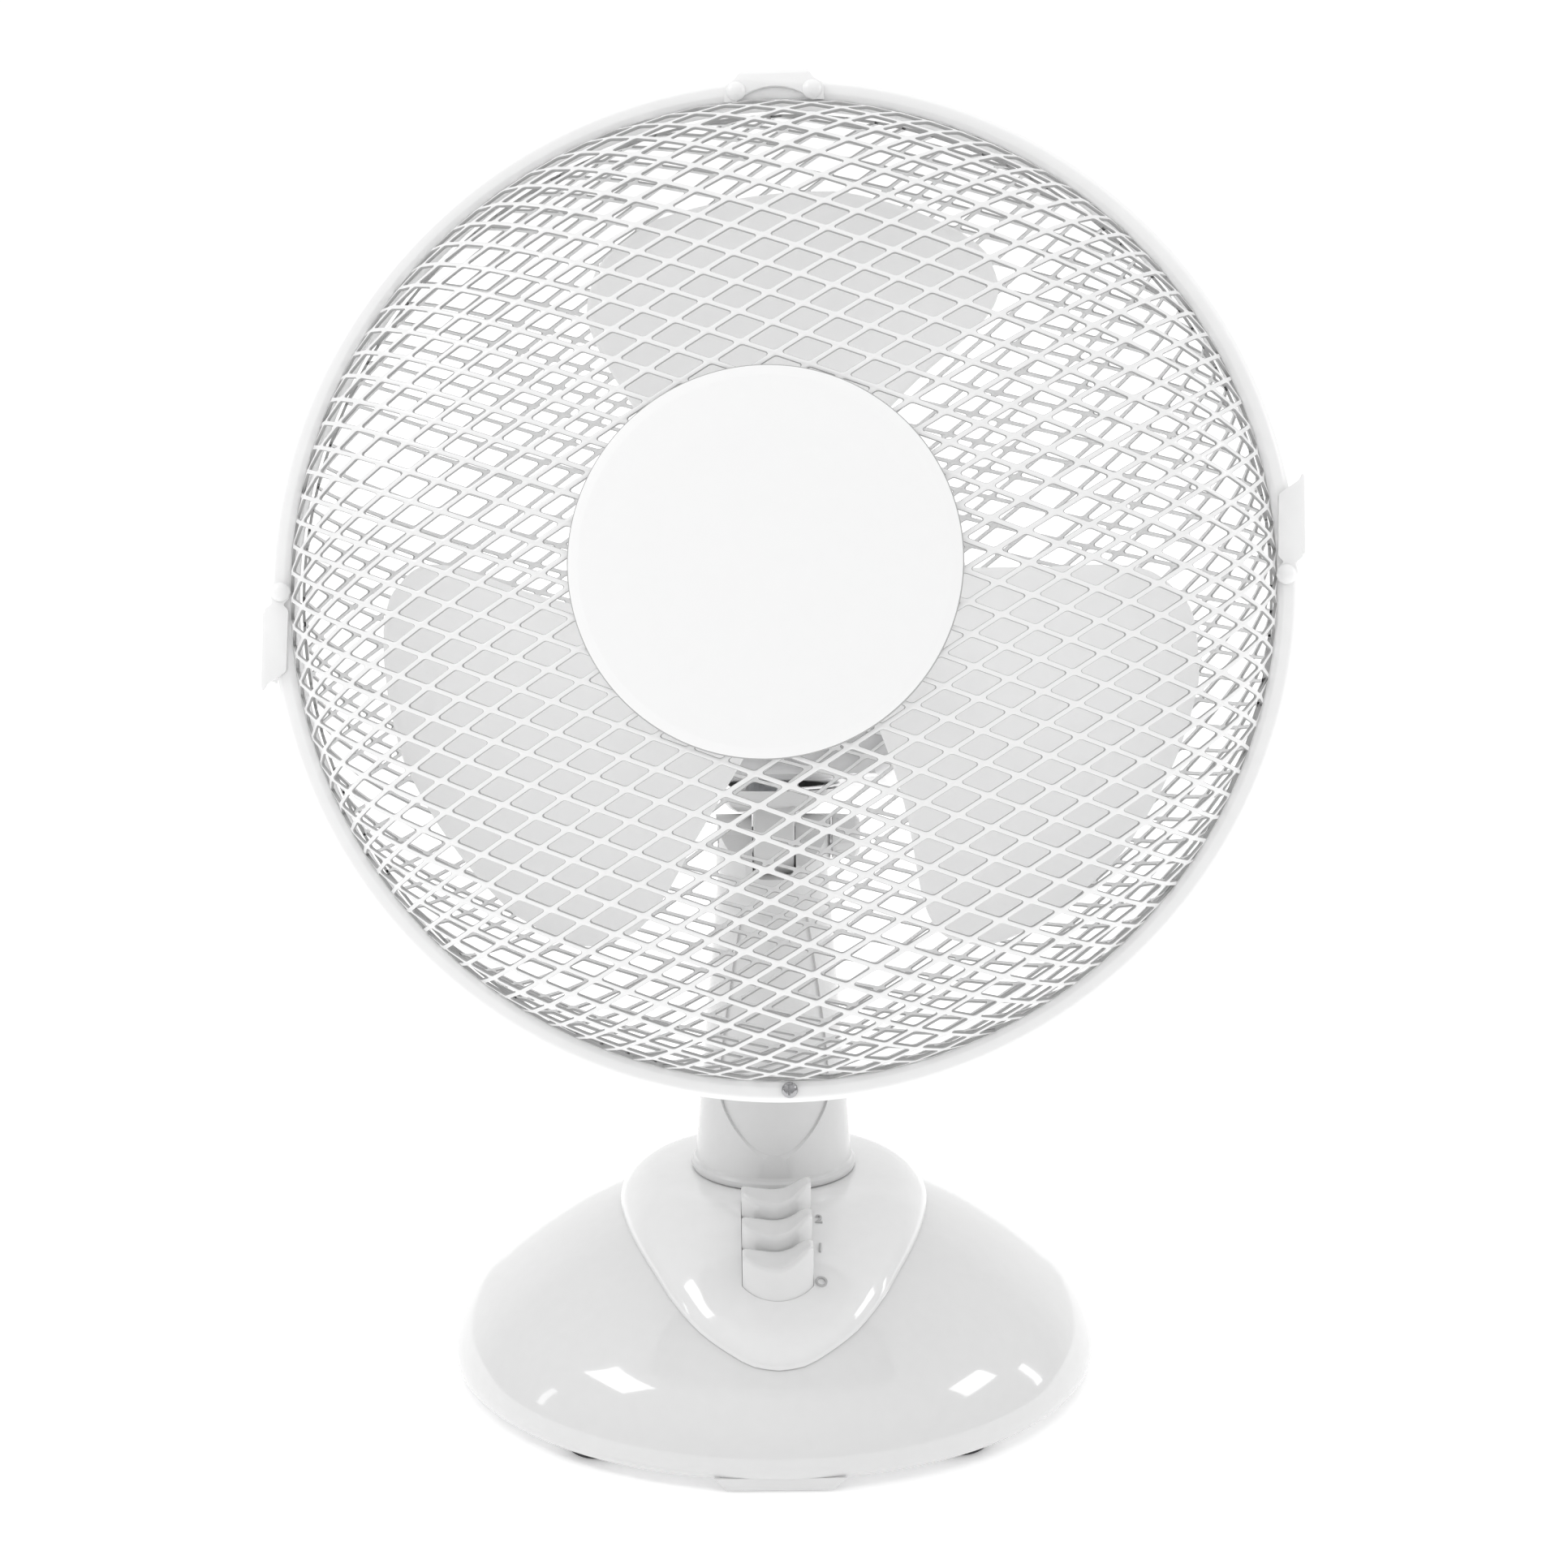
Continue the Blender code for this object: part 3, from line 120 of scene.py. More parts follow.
DIAMOND = (Vector((8.82, -3.26)), Vector((7.98, 5.04)))   # the two strand directions of the mesh
STRAND = 0.68            # half the width of a strand of the front mesh
REAR_STRAND = 0.54       # and of the rear mesh
STRAND_FACE = 0.82       # a strand's outer faces have this much of its full width


SIDE_LIGHT, BACK_LIGHT, TOP_LIGHT = 0.55, 1.05, 1.10     # brightness of the studio around it
FLOOR_GLOW = 0.30          # light of its own that the floor gives off
REAR_MESH_TURN = 5.0      # degrees that the rear net is turned against the front one


# ---------------------------------------------------------------- shape helpers
def polar(radius, degrees):
    return radius * math.cos(math.radians(degrees)), radius * math.sin(math.radians(degrees))


def eased(table, at, column=1):
    """Smooth interpolation through the rows of a table, by its first column."""
    if at <= table[0][0]:
        return table[0][column]
    if at >= table[-1][0]:
        return table[-1][column]
    index = next(k for k in range(len(table) - 1) if at <= table[k + 1][0])
    x0, x1 = table[index][0], table[index + 1][0]
    y0, y1 = table[index][column], table[index + 1][column]

    def slope(k):
        low, high = max(k - 1, 0), min(k + 1, len(table) - 1)
        return (table[high][column] - table[low][column]) / (table[high][0] - table[low][0])

    t = (at - x0) / (x1 - x0)
    m0, m1 = slope(index) * (x1 - x0), slope(index + 1) * (x1 - x0)
    return (
        (2 * t**3 - 3 * t**2 + 1) * y0 + (t**3 - 2 * t**2 + t) * m0
        + (3 * t**2 - 2 * t**3) * y1 + (t**3 - t**2) * m1
    )


def rounded(corners, closed=True, steps=5):
    """An outline with its corners turned into arcs; a corner is (a, b) or (a, b, radius)."""
    points = []
    count = len(corners)
    for k, corner in enumerate(corners):
        here = Vector(corner[:2])
        radius = corner[2] if len(corner) > 2 else 0.0
        if radius == 0.0 or (not closed and k in (0, count - 1)):
            points.append(tuple(here))
            continue
        before = Vector(corners[k - 1][:2]) - here
        after = Vector(corners[(k + 1) % count][:2]) - here
        half = before.angle(after) / 2
        reach = min(radius / math.tan(half), before.length * 0.49, after.length * 0.49)
        centre = here + (before.normalized() + after.normalized()).normalized() * (
            reach / math.cos(half))
        start = here + before.normalized() * reach - centre
        sweep = start.angle_signed(here + after.normalized() * reach - centre)
        for step in range(steps + 1):
            turn = Matrix.Rotation(-sweep * step / steps, 2)
            points.append(tuple(centre + turn @ start))
    return points


def aim(bm, axis):
    """Turn a body drawn along +Z so that it runs along +X or +Y."""
    turns = {"X": Matrix.Rotation(math.pi / 2, 3, "Y"), "Y": Matrix.Rotation(-math.pi / 2, 3, "X")}
    if axis in turns:
        bmesh.ops.rotate(bm, cent=(0, 0, 0), matrix=turns[axis], verts=bm.verts)
    return bm


def shifted(bm, offset):
    bmesh.ops.translate(bm, vec=offset, verts=bm.verts)
    return bm


def turned(profile, steps=96, axis="Z"):
    """A closed body turned from (radius, height) points that start and end at radius 0 or close."""
    bm = bmesh.new()
    rings = []
    for radius, height in profile:
        if radius <= 0:
            rings.append([bm.verts.new((0, 0, height))])
        else:
            rings.append(
                [bm.verts.new((*polar(radius, 360.0 * k / steps), height)) for k in range(steps)])
    pairs = list(zip(rings, rings[1:]))
    if profile[0][0] > 0:
        pairs.append((rings[-1], rings[0]))
    for low, high in pairs:
        for k in range(steps):
            following = (k + 1) % steps
            corners = [low[k % len(low)], low[following % len(low)]]
            corners += [high[following % len(high)], high[k % len(high)]]
            distinct = [v for i, v in enumerate(corners) if v not in corners[:i]]
            if len(distinct) > 2:
                bm.faces.new(distinct)
    return aim(bm, axis)


def cylinder(radius, low, high, steps=32, axis="Z", centre=(0.0, 0.0)):
    bm = turned([(0, low), (radius, low), (radius, high), (0, high)], steps)
    return aim(shifted(bm, (centre[0], centre[1], 0)), axis)


PLANES = {
    "XY": lambda a, b, c: (a, b, c),
    "XZ": lambda a, b, c: (a, c, b),
    "YZ": lambda a, b, c: (c, a, b),
}


def prism(outline, low, high, plane="XY"):
    """An outline in one plane, extruded across it from low to high."""
    bm = bmesh.new()
    place = PLANES[plane]
    ends = [[bm.verts.new(place(a, b, level)) for a, b in outline] for level in (low, high)]
    count = len(outline)
    for k in range(count):
        following = (k + 1) % count
        bm.faces.new((ends[0][k], ends[0][following], ends[1][following], ends[1][k]))
    bm.faces.new(ends[0])
    bm.faces.new(ends[1])
    return bm


def block(x0, x1, y0, y1, z0, z1):
    return prism([(x0, y0), (x1, y0), (x1, y1), (x0, y1)], z0, z1)


def to_object(name, bm):
    bmesh.ops.recalc_face_normals(bm, faces=bm.faces)
    mesh = bpy.data.meshes.new(name)
    bm.to_mesh(mesh)
    bm.free()
    made = bpy.data.objects.new(name, mesh)
    bpy.context.scene.collection.objects.link(made)
    return made


def to_bmesh(made):
    """The object's mesh with its modifiers applied, as a bmesh; the object is removed."""
    evaluated = made.evaluated_get(bpy.context.evaluated_depsgraph_get())
    bm = bmesh.new()
    bm.from_mesh(evaluated.data)
    bpy.data.objects.remove(made)
    return bm


def cut(bm, tool_bm, operation="DIFFERENCE"):
    target, tool = to_object("target", bm), to_object("tool", tool_bm)
    modifier = target.modifiers.new("cut", "BOOLEAN")
    modifier.operation = operation
    modifier.solver = "EXACT"
    modifier.object = tool
    bpy.context.view_layer.update()
    result = to_bmesh(target)
    bpy.data.objects.remove(tool)
    return result


def softened(bm, width, segments=3, angle=35.0):
    """Round every sharp edge."""
    target = to_object("target", bm)
    modifier = target.modifiers.new("soften", "BEVEL")
    modifier.width = width
    modifier.segments = segments
    modifier.limit_method = "ANGLE"
    modifier.angle_limit = math.radians(angle)
    modifier.harden_normals = False
    bpy.context.view_layer.update()
    return to_bmesh(target)


def joined(*bodies):
    """Several bodies in one mesh."""
    bm = bmesh.new()
    for body in bodies:
        mesh = bpy.data.meshes.new("scrap")
        body.to_mesh(mesh)
        body.free()
        bm.from_mesh(mesh)
        bpy.data.meshes.remove(mesh)
    return bm


def piece(name, bm, where, body, nodes, look, sharp=38.0, edge=None):
    """A finished piece: drawn in mm in a space, riding on a body, standing for CAD nodes.

    Faces marked 1 take the edge look, a grey painted shade.
    """
    bmesh.ops.recalc_face_normals(bm, faces=bm.faces)
    bm.transform(where)
    made = to_object(name, bm)
    made.data.shade_smooth()
    made.data.set_sharp_from_angle(angle=math.radians(sharp))
    made.data.materials.append(look)
    if edge:
        made.data.materials.append(edge)
    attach(made, body)
    if nodes:
        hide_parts(*nodes)
    return made


# ---------------------------------------------------------------- materials
def material(name, colour, roughness, metallic=0.0, coat=0.0, specks=0.02, speck_size=0.004,
             grain=0.0, grain_size=0.0006, uneven=0.04):
    """A Principled surface with faint colour mottling, uneven gloss and a fine surface grain."""
    made = bpy.data.materials.new(name)
    made.use_nodes = True
    nodes, links = made.node_tree.nodes, made.node_tree.links
    shader = nodes["Principled BSDF"]
    shader.inputs["Metallic"].default_value = metallic
    shader.inputs["Coat Weight"].default_value = coat
    shader.inputs["Coat Roughness"].default_value = 0.03
    place = nodes.new("ShaderNodeTexCoord")

    def noise(size, detail):
        texture = nodes.new("ShaderNodeTexNoise")
        texture.inputs["Scale"].default_value = 1.0 / size
        texture.inputs["Detail"].default_value = detail
        links.new(place.outputs["Object"], texture.inputs["Vector"])
        return texture

    mottle = noise(speck_size, 3.0)
    tint = nodes.new("ShaderNodeMix")
    tint.data_type = "RGBA"
    darker = [channel * (1.0 - specks) for channel in colour]
    lighter = [min(channel * (1.0 + specks), 1.0) for channel in colour]
    tint.inputs["A"].default_value = (*darker, 1.0)
    tint.inputs["B"].default_value = (*lighter, 1.0)
    links.new(mottle.outputs["Fac"], tint.inputs["Factor"])
    links.new(tint.outputs["Result"], shader.inputs["Base Color"])
    handling = noise(0.03, 4.0)
    spread = nodes.new("ShaderNodeMapRange")
    spread.inputs["To Min"].default_value = max(roughness - uneven, 0.02)
    spread.inputs["To Max"].default_value = roughness + uneven
    links.new(handling.outputs["Fac"], spread.inputs["Value"])
    links.new(spread.outputs["Result"], shader.inputs["Roughness"])
    if grain > 0:
        pores = noise(grain_size, 2.0)
        bump = nodes.new("ShaderNodeBump")
        bump.inputs["Strength"].default_value = grain
        bump.inputs["Distance"].default_value = 0.00012
        links.new(pores.outputs["Fac"], bump.inputs["Height"])
        links.new(bump.outputs["Normal"], shader.inputs["Normal"])
    return made


gloss_white = material("gloss_white_plastic", (0.72, 0.72, 0.72), 0.10, coat=0.6, grain=0.05,
                       grain_size=0.003, uneven=0.03)
neck_white = material("neck_white_plastic", (0.65, 0.65, 0.65), 0.22, coat=0.25, grain=0.08,
                      grain_size=0.002)
button_white = material("button_white_plastic", (0.71, 0.71, 0.71), 0.13, coat=0.5, grain=0.04,
                        grain_size=0.002)
panel_white = material("panel_white_plastic", (0.78, 0.78, 0.78), 0.10, coat=0.6, grain=0.05,
                       grain_size=0.003, uneven=0.03)
# painted shade: the figures are raised from the panel, and their grey stands in for the shading that
# makes them show
figure_painted_shade = material("figure_painted_shade_plastic", (0.45, 0.45, 0.45), 0.3, grain=0.1, specks=0.04)
disc_white = material("disc_white_plastic", (0.90, 0.90, 0.90), 0.42, grain=0.10,
                      grain_size=0.0009, specks=0.008)
guard_white = material("guard_powder_coat", (0.85, 0.85, 0.85), 0.34, coat=0.15, grain=0.30,
                       grain_size=0.0012, specks=0.015)
# painted shade: a grey for the walls of the guards' holes and the disc's rim, standing in for the
# shade on the strands' sides and in the gap between disc and mesh
edge_painted_shade = material("guard_edge_painted_shade", (0.42, 0.42, 0.42), 0.55, grain=0.3, specks=0.04)
rim_white = material("rim_powder_coat", (0.91, 0.91, 0.91), 0.30, coat=0.2, grain=0.25,
                     grain_size=0.0015, specks=0.012)
blade_grey = material("blade_grey_plastic", (0.95, 0.95, 0.95), 0.38, grain=0.15,
                      grain_size=0.0008, specks=0.012)
housing_white = material("housing_white_plastic", (0.76, 0.76, 0.765), 0.25, coat=0.2, grain=0.1,
                         grain_size=0.0012)
inner_plastic = material("inner_grey_plastic", (0.42, 0.43, 0.45), 0.55, grain=0.4, specks=0.05)
foot_rubber = material("foot_rubber", (0.035, 0.035, 0.038), 0.75, grain=0.7, specks=0.12,
                       grain_size=0.0004)
bright_steel = material("bright_steel", (0.62, 0.62, 0.63), 0.26, metallic=1.0, grain=0.25,
                        grain_size=0.0005, specks=0.05)
chrome = material("screw_chrome", (0.40, 0.40, 0.41), 0.16, metallic=1.0, grain=0.12, specks=0.03)
core_steel = material("core_laminations", (0.30, 0.30, 0.32), 0.48, metallic=1.0, grain=0.5,
                      grain_size=0.0005, specks=0.12)
cast_alloy = material("cast_alloy", (0.56, 0.57, 0.59), 0.46, metallic=1.0, grain=0.6,
                      grain_size=0.0007, specks=0.06)
copper_wire = material("copper_wire", (0.60, 0.22, 0.09), 0.34, metallic=1.0, grain=0.8,
                       grain_size=0.0004, specks=0.12)
brass = material("machined_brass", (0.72, 0.50, 0.20), 0.28, metallic=1.0, grain=0.3, specks=0.05)
acetal = material("natural_acetal", (0.78, 0.75, 0.68), 0.42, grain=0.2, specks=0.03)

CARRIED_OVER = {
    "base_plate": housing_white, "switch_body": inner_plastic, "swing_pin": bright_steel,
    "pin_retainer": bright_steel, "link_stud": bright_steel, "motor_shaft": bright_steel,
    "rotor_core": core_steel, "stator_core": core_steel, "winding_front": copper_wire,
    "winding_rear": copper_wire, "bell_front": cast_alloy, "bell_rear": cast_alloy,
    "motor_bolt_1": bright_steel, "motor_bolt_2": bright_steel, "worm": brass,
    "gearbox_case": inner_plastic, "gearbox_lid": inner_plastic, "worm_wheel": acetal,
    "clutch_spindle": bright_steel, "crank_gear": acetal, "link_arm": bright_steel,
    "base_screw_1": bright_steel, "base_screw_2": bright_steel, "base_screw_3": bright_steel,
    "base_screw_4": bright_steel, "rim_nut": bright_steel, "tilt_bolt": bright_steel,
}
for name, look in CARRIED_OVER.items():
    for slot_in_use in frame["nodes"][name].material_slots:
        slot_in_use.material = look


# ---------------------------------------------------------------- mesh guards
def dome_depth(radius, depth, power):
    return depth * math.sqrt(max(0.0, 1.0 - min(radius / RIM_IN, 1.0) ** power))


class Dome:
    """The pressed surface of one guard; side is -1 ahead of the joint and +1 behind it."""

    def __init__(self, depth, power, side):
        self.depth, self.power, self.side = depth, power, side
        self.radii = [(RIM_IN - 0.45) * math.sin(math.pi / 2 * k / 400) for k in range(401)]
        self.lengths = [0.0]
        for a, b in zip(self.radii, self.radii[1:]):
            climb = dome_depth(b, depth, power) - dome_depth(a, depth, power)
            self.lengths.append(self.lengths[-1] + math.hypot(b - a, climb))

    def radius_at(self, length):
        """The radius that lies this far from the middle along the pressed sheet."""
        low, high = 0, len(self.lengths) - 1
        if length >= self.lengths[-1]:
            return self.radii[-1]
        while high - low > 1:
            middle = (low + high) // 2
            if self.lengths[middle] <= length:
                low = middle
            else:
                high = middle
        share = (length - self.lengths[low]) / (self.lengths[high] - self.lengths[low])
        return self.radii[low] + share * (self.radii[high] - self.radii[low])

    def place(self, flat, offset=0.0, inner=0.0):
        """Where a point of the flat sheet ends up, pushed out along the surface by offset."""
        radius = max(self.radius_at(flat.length), inner)
        step = 0.3
        low, high = max(radius - step, 0.0), min(radius + step, self.radii[-1])
        slope = (dome_depth(high, self.depth, self.power)
                 - dome_depth(low, self.depth, self.power)) / (high - low)
        size = math.hypot(1.0, slope)
        out, along = -slope / size * offset, offset / size
        direction = flat.normalized() if flat.length > 1e-6 else Vector((1, 0))
        depth = dome_depth(radius, self.depth, self.power) + SKIN + along
        spot = direction * (radius + out)
        return Vector((spot.x, self.side * depth, spot.y))


HOLE_WIDE, HOLE_SHARP = 1.6, 0.5     # radii of a hole's blunt and sharp corners


def hole_outline(corners, strand):
    """The rounded hole of one diamond, as lists of points by corner."""
    middle = sum(corners, Vector((0, 0))) / 4
    sides = [(corners[(k + 1) % 4] - corners[k]).normalized() for k in range(4)]
    inset = []
    for k in range(4):
        before, after = -sides[k - 1], sides[k]
        bisector = (before + after).normalized()
        inset.append(corners[k] + bisector * (strand / math.sin(before.angle(after) / 2)))
    groups = []
    for k in range(4):
        before, after = inset[k - 1] - inset[k], inset[(k + 1) % 4] - inset[k]
        half = before.angle(after) / 2
        blunt = half > math.pi / 4
        radius, steps = (HOLE_WIDE, 3) if blunt else (HOLE_SHARP, 2)
        reach = min(radius / math.tan(half), 0.42 * before.length)
        start, end = before.normalized() * reach, after.normalized() * reach
        centre = (start + end).normalized() * (reach / math.cos(half))
        first, last = start - centre, end - centre
        turn = first.angle_signed(last)
        group = []
        for step in range(steps + 1):
            swing = Matrix.Rotation(-turn * step / steps, 2)
            group.append(inset[k] + centre + swing @ first)
        groups.append(group)
    return groups


def pressed_mesh(dome, phase, roll, strand, inner=0.0, thick=0.85):
    """Expanded metal: a net of diamonds with rounded holes, laid over a dome."""
    bm = bmesh.new()
    a, b = DIAMOND
    turn = Matrix.Rotation(roll, 2)
    a, b = turn @ a, turn @ b
    limit = dome.lengths[-1]
    inner_length = next(
        length for radius, length in zip(dome.radii, dome.lengths) if radius >= inner)
    reach = int(limit / 6) + 4
    face = strand * STRAND_FACE
    nodes = {}

    def node(i, j):
        if (i, j) not in nodes:
            flat = phase + a * i + b * j
            nodes[i, j] = [
                bm.verts.new(dome.place(flat, side * thick / 2, inner)) for side in (1, -1)]
        return nodes[i, j]

    for i in range(-reach, reach):
        for j in range(-reach, reach):
            flats = [phase + a * (i + u) + b * (j + v) for u, v in ((0, 0), (1, 0), (1, 1), (0, 1))]
            lengths = [flat.length for flat in flats]
            if min(lengths) > limit - 0.5 or max(lengths) < inner_length + 0.5:
                continue
            corners = [node(i, j), node(i + 1, j), node(i + 1, j + 1), node(i, j + 1)]
            levels = []
            for half, side in ((face, 1), (strand, 0.5), (strand, -0.5), (face, -1)):
                groups = hole_outline(flats, half)
                levels.append([
                    [bm.verts.new(dome.place(flat, side * thick / 2, inner)) for flat in group]
                    for group in groups])
            for level, layer in ((0, 0), (3, 1)):
                for k in range(4):
                    group, following = levels[level][k], levels[level][(k + 1) % 4]
                    for p, q in zip(group, group[1:]):
                        bm.faces.new((corners[k][layer], p, q))
                    bm.faces.new(
                        (corners[k][layer], group[-1], following[0], corners[(k + 1) % 4][layer]))
            rings = [[vertex for group in level for vertex in group] for level in levels]
            count = len(rings[0])
            for upper, lower in zip(rings, rings[1:]):
                for k in range(count):
                    n = (k + 1) % count
                    # the hole walls take the second material, a grey painted shade that draws the
                    # dark sides of the strands
                    wall = bm.faces.new((upper[k], upper[n], lower[n], lower[k]))
                    wall.material_index = 1
    return bm


front_dome = Dome(FRONT_DEPTH, FRONT_POWER, -1)
rear_dome = Dome(REAR_DEPTH, REAR_POWER, 1)
front_mesh = pressed_mesh(front_dome, Vector((0.0, 0.0)), 0.0, STRAND)
piece("front_mesh_guard", front_mesh, head_space, "head", ["front_grille"],
      guard_white, sharp=60, edge=edge_painted_shade)
rear_mesh = pressed_mesh(
    rear_dome, Vector((3.1, 2.2)), math.radians(REAR_MESH_TURN), REAR_STRAND, inner=33.4)
seat = dome_depth(21.0, REAR_DEPTH, REAR_POWER) + SKIN
seat_plate = turned(rounded([
    (20.4, seat - 0.5, 0.2), (34.3, seat - 0.5, 0.3), (34.3, seat + 0.5, 0.3),
    (20.4, seat + 0.5, 0.2)], steps=3), 96, "Y")
piece("rear_mesh_guard", joined(rear_mesh, seat_plate), head_space, "head", ["rear_grille"],
      guard_white, sharp=60, edge=edge_painted_shade)

# ---------------------------------------------------------------- rims, disc
rim_section = [
    (RIM_IN, -0.2, 0.3), (RIM_IN, -6.0, 1.1), (136.0, -6.7, 1.5), (RIM_OUT - 1.2, -6.6, 1.2),
    (RIM_OUT, -5.0, 1.2), (RIM_OUT, -0.2, 0.3),
]
rim_front = turned(rounded(rim_section, steps=4), 220, "Y")
rim_rear = turned(rounded([(r, -y, f) for r, y, f in rim_section], steps=4), 220, "Y")
piece("front_rim_band", rim_front, head_space, "head", ["rim_front"], rim_white)
piece("rear_rim_band", rim_rear, head_space, "head", ["rim_rear"], rim_white)

crown = dome_depth(47.0, FRONT_DEPTH, FRONT_POWER) + SKIN
disc_section = [
    (0, -crown - 0.9), (DISC_RADIUS - 1.2, -crown - 0.9), (DISC_RADIUS, -crown - 1.0, 0.4),
    (DISC_RADIUS, -crown - 1.9, 0.7), (DISC_RADIUS - 3.0, -crown - 2.7, 3.0),
    (36.0, -crown - 3.6, 30), (18.0, -crown - 4.2, 30), (0, -crown - 4.4),
]
disc_body = turned(rounded(disc_section, closed=False, steps=6), 160, "Y")
# a thin ring at the disc's edge takes the second material, a grey painted shadow for the gap between
# disc and mesh
for face in disc_body.faces:
    middle = face.calc_center_median()
    if math.hypot(middle.x, middle.z) > DISC_RADIUS - 0.32:
        face.material_index = 1
piece("front_centre_disc", disc_body, head_space, "head", ["centre_disc"],
      disc_white, edge=edge_painted_shade)


# ---------------------------------------------------------------- hook, latches, rivets, screw
def rivet_head(x, z, low=-10.3, radius=2.7, seat=-8.3):
    dome_points = [(radius * math.cos(t), seat + (low - seat) * math.sin(t))
                   for t in [math.pi / 2 * k / 8 for k in range(8)]]
    profile = [(0, low)] + list(reversed(dome_points)) + [(1.2, seat), (1.2, -2.6), (0, -2.6)]
    return shifted(turned(profile, 40, "Y"), (x, 0, z))


clip_rivets = [polar(RIVET_CIRCLE, 90 + 4.4 * sign) for sign in (1, -1)]
latch_rivets = [polar(RIVET_CIRCLE, 180.0), polar(RIVET_CIRCLE, 0.0)]
screw_spot = polar(RIVET_CIRCLE, -89.0)
for label, spot in (
    ("hook_rivet_left", clip_rivets[0]), ("hook_rivet_right", clip_rivets[1]),
    ("latch_rivet_left", latch_rivets[0]), ("latch_rivet_right", latch_rivets[1]),
):
    piece(f"{label}_head", rivet_head(*spot), head_space, "head", [label],
          rim_white)

hook_side = [
    (-8.2, 133.4), (-8.2, 141.0, 0.6), (-7.4, 142.2, 0.8), (6.9, 142.2, 0.8), (7.8, 141.4, 0.6),
    (7.8, 137.4), (6.8, 137.4), (6.8, 140.9, 0.5), (-6.9, 140.9, 0.5), (-6.9, 133.4),
]
hook = prism(rounded(hook_side, steps=3), -14.0, 14.0, "YZ")
hook_front = rounded([
    (-13.7, 131.6), (-13.6, 137.6, 1.0), (-10.8, 139.6, 1.5), (-9.2, 141.9, 1.2), (-8.8, 160),
    (8.8, 160), (9.2, 141.9, 1.2), (10.8, 139.6, 1.5), (13.6, 137.6, 1.0), (13.7, 131.6),
], steps=4)
hook = cut(hook, prism(hook_front, -30, 30, "XZ"), "INTERSECT")
hook = cut(hook, shifted(cylinder(15.5, -12, -3, 64, "Y"), (0, 0, 122.0)))
piece("top_hook_plate", softened(hook, 0.22, 2), head_space, "head", ["top_hook"],
      rim_white)


def latch(flip):
    """A pressed clip: an eye at its rivet, a lever over the rim's edge and a lip behind it."""
    lever = [
        (2.7, 0, 0), (2.3, 1.6, 1.5), (0, 2.9, 2.0), (-2.3, 1.6, 1.5), (-2.9, -0.8, 1.0),
        (-2.4, -3.1, 0.6), (-4.4, -4.6, 0.8), (-5.3, -23.4, 1.0), (-5.1, -28.2, 0.5),
        (-3.7, -25.4, 1.5), (1.6, -21.8, 1.2), (2.1, -5.0, 1.2), (0.6, -3.4, 0.6), (2.3, -1.8, 0.8),
    ]
    plate = prism(rounded([(flip * x, flip * z, f) for x, z, f in lever], steps=3), -8.0, -6.9, "XZ")
    wall = [(-5.1, -5.5), (-4.0, -5.5), (-4.5, -23.5), (-5.3, -23.5)]
    fold = prism([(flip * x, flip * z) for x, z in wall], -7.5, 7.9, "XZ")
    lip = [(-5.1, -7.0), (0.4, -7.0), (-0.2, -22.0), (-5.2, -22.0)]
    rear = prism([(flip * x, flip * z) for x, z in lip], 6.9, 7.9, "XZ")
    return softened(cut(cut(plate, fold, "UNION"), rear, "UNION"), 0.2, 2)


for side, spot, flip in (("left", latch_rivets[0], 1), ("right", latch_rivets[1], -1)):
    body = shifted(latch(flip), (spot[0], 0, spot[1]))
    piece(f"latch_{side}_clip", body, head_space, f"latch_{side}", [f"latch_{side}"],
          rim_white)

screw_profile = rounded([
    (0, -8.9), (1.4, -8.7, 0.8), (2.1, -8.0, 0.4), (2.2, -6.9, 0.1), (1.45, -6.8), (1.45, 9.6),
    (0, 9.9)], closed=False, steps=4)
screw = turned(screw_profile, 40, "Y")
cross = [(0.28, 0.28), (0.28, 1.4), (-0.28, 1.4), (-0.28, 0.28), (-1.4, 0.28), (-1.4, -0.28)]
cross += [(-x, -z) for x, z in cross]
screw = cut(screw, prism(cross, -9.6, -7.9, "XZ"))
piece("rim_screw_head", shifted(screw, (screw_spot[0], 0, screw_spot[1])), head_space, "head",
      ["rim_screw"], chrome)


# ---------------------------------------------------------------- impeller
def blade(turn):
    """One twisted blade: a cambered skin with thin rounded edges."""
    rows, columns = 44, 30
    low, high = BLADE_EDGES[0][0], BLADE_EDGES[-1][0]
    bm = bmesh.new()
    faces = []
    for side in (-1, 1):
        grid = []
        for i in range(rows + 1):
            share = i / rows
            radius = low + (high - low) * (1 - (1 - share) ** 1.7)
            lead, trail = eased(BLADE_EDGES, radius, 1), eased(BLADE_EDGES, radius, 2)
            row = []
            for k in range(columns + 1):
                across = 0.5 - 0.5 * math.cos(math.pi * k / columns)
                angle = lead + (trail - lead) * across
                camber = BLADE_CAMBER * (1 - (2 * across - 1) ** 2)
                edge = min(across, 1 - across) * math.radians(trail - lead) * radius
                edge = min(edge, high - radius + 0.25)
                half = 0.25 + 0.55 * min(edge / 1.6, 1.0) ** 0.5
                y = BLADE_MIDDLE + BLADE_SLOPE * (angle - 92.0) + camber + side * half
                x, z = polar(radius, angle + turn)
                row.append(bm.verts.new((x, y, z)))
            grid.append(row)
        faces.append(grid)
    for grid in faces:
        for i in range(rows):
            for k in range(columns):
                bm.faces.new((grid[i][k], grid[i][k + 1], grid[i + 1][k + 1], grid[i + 1][k]))
    near, far = faces
    for i in range(rows):
        for k in (0, -1):
            bm.faces.new((near[i][k], near[i + 1][k], far[i + 1][k], far[i][k]))
    for k in range(columns):
        for i in (0, -1):
            bm.faces.new((near[i][k], far[i][k], far[i][k + 1], near[i][k + 1]))
    return bm


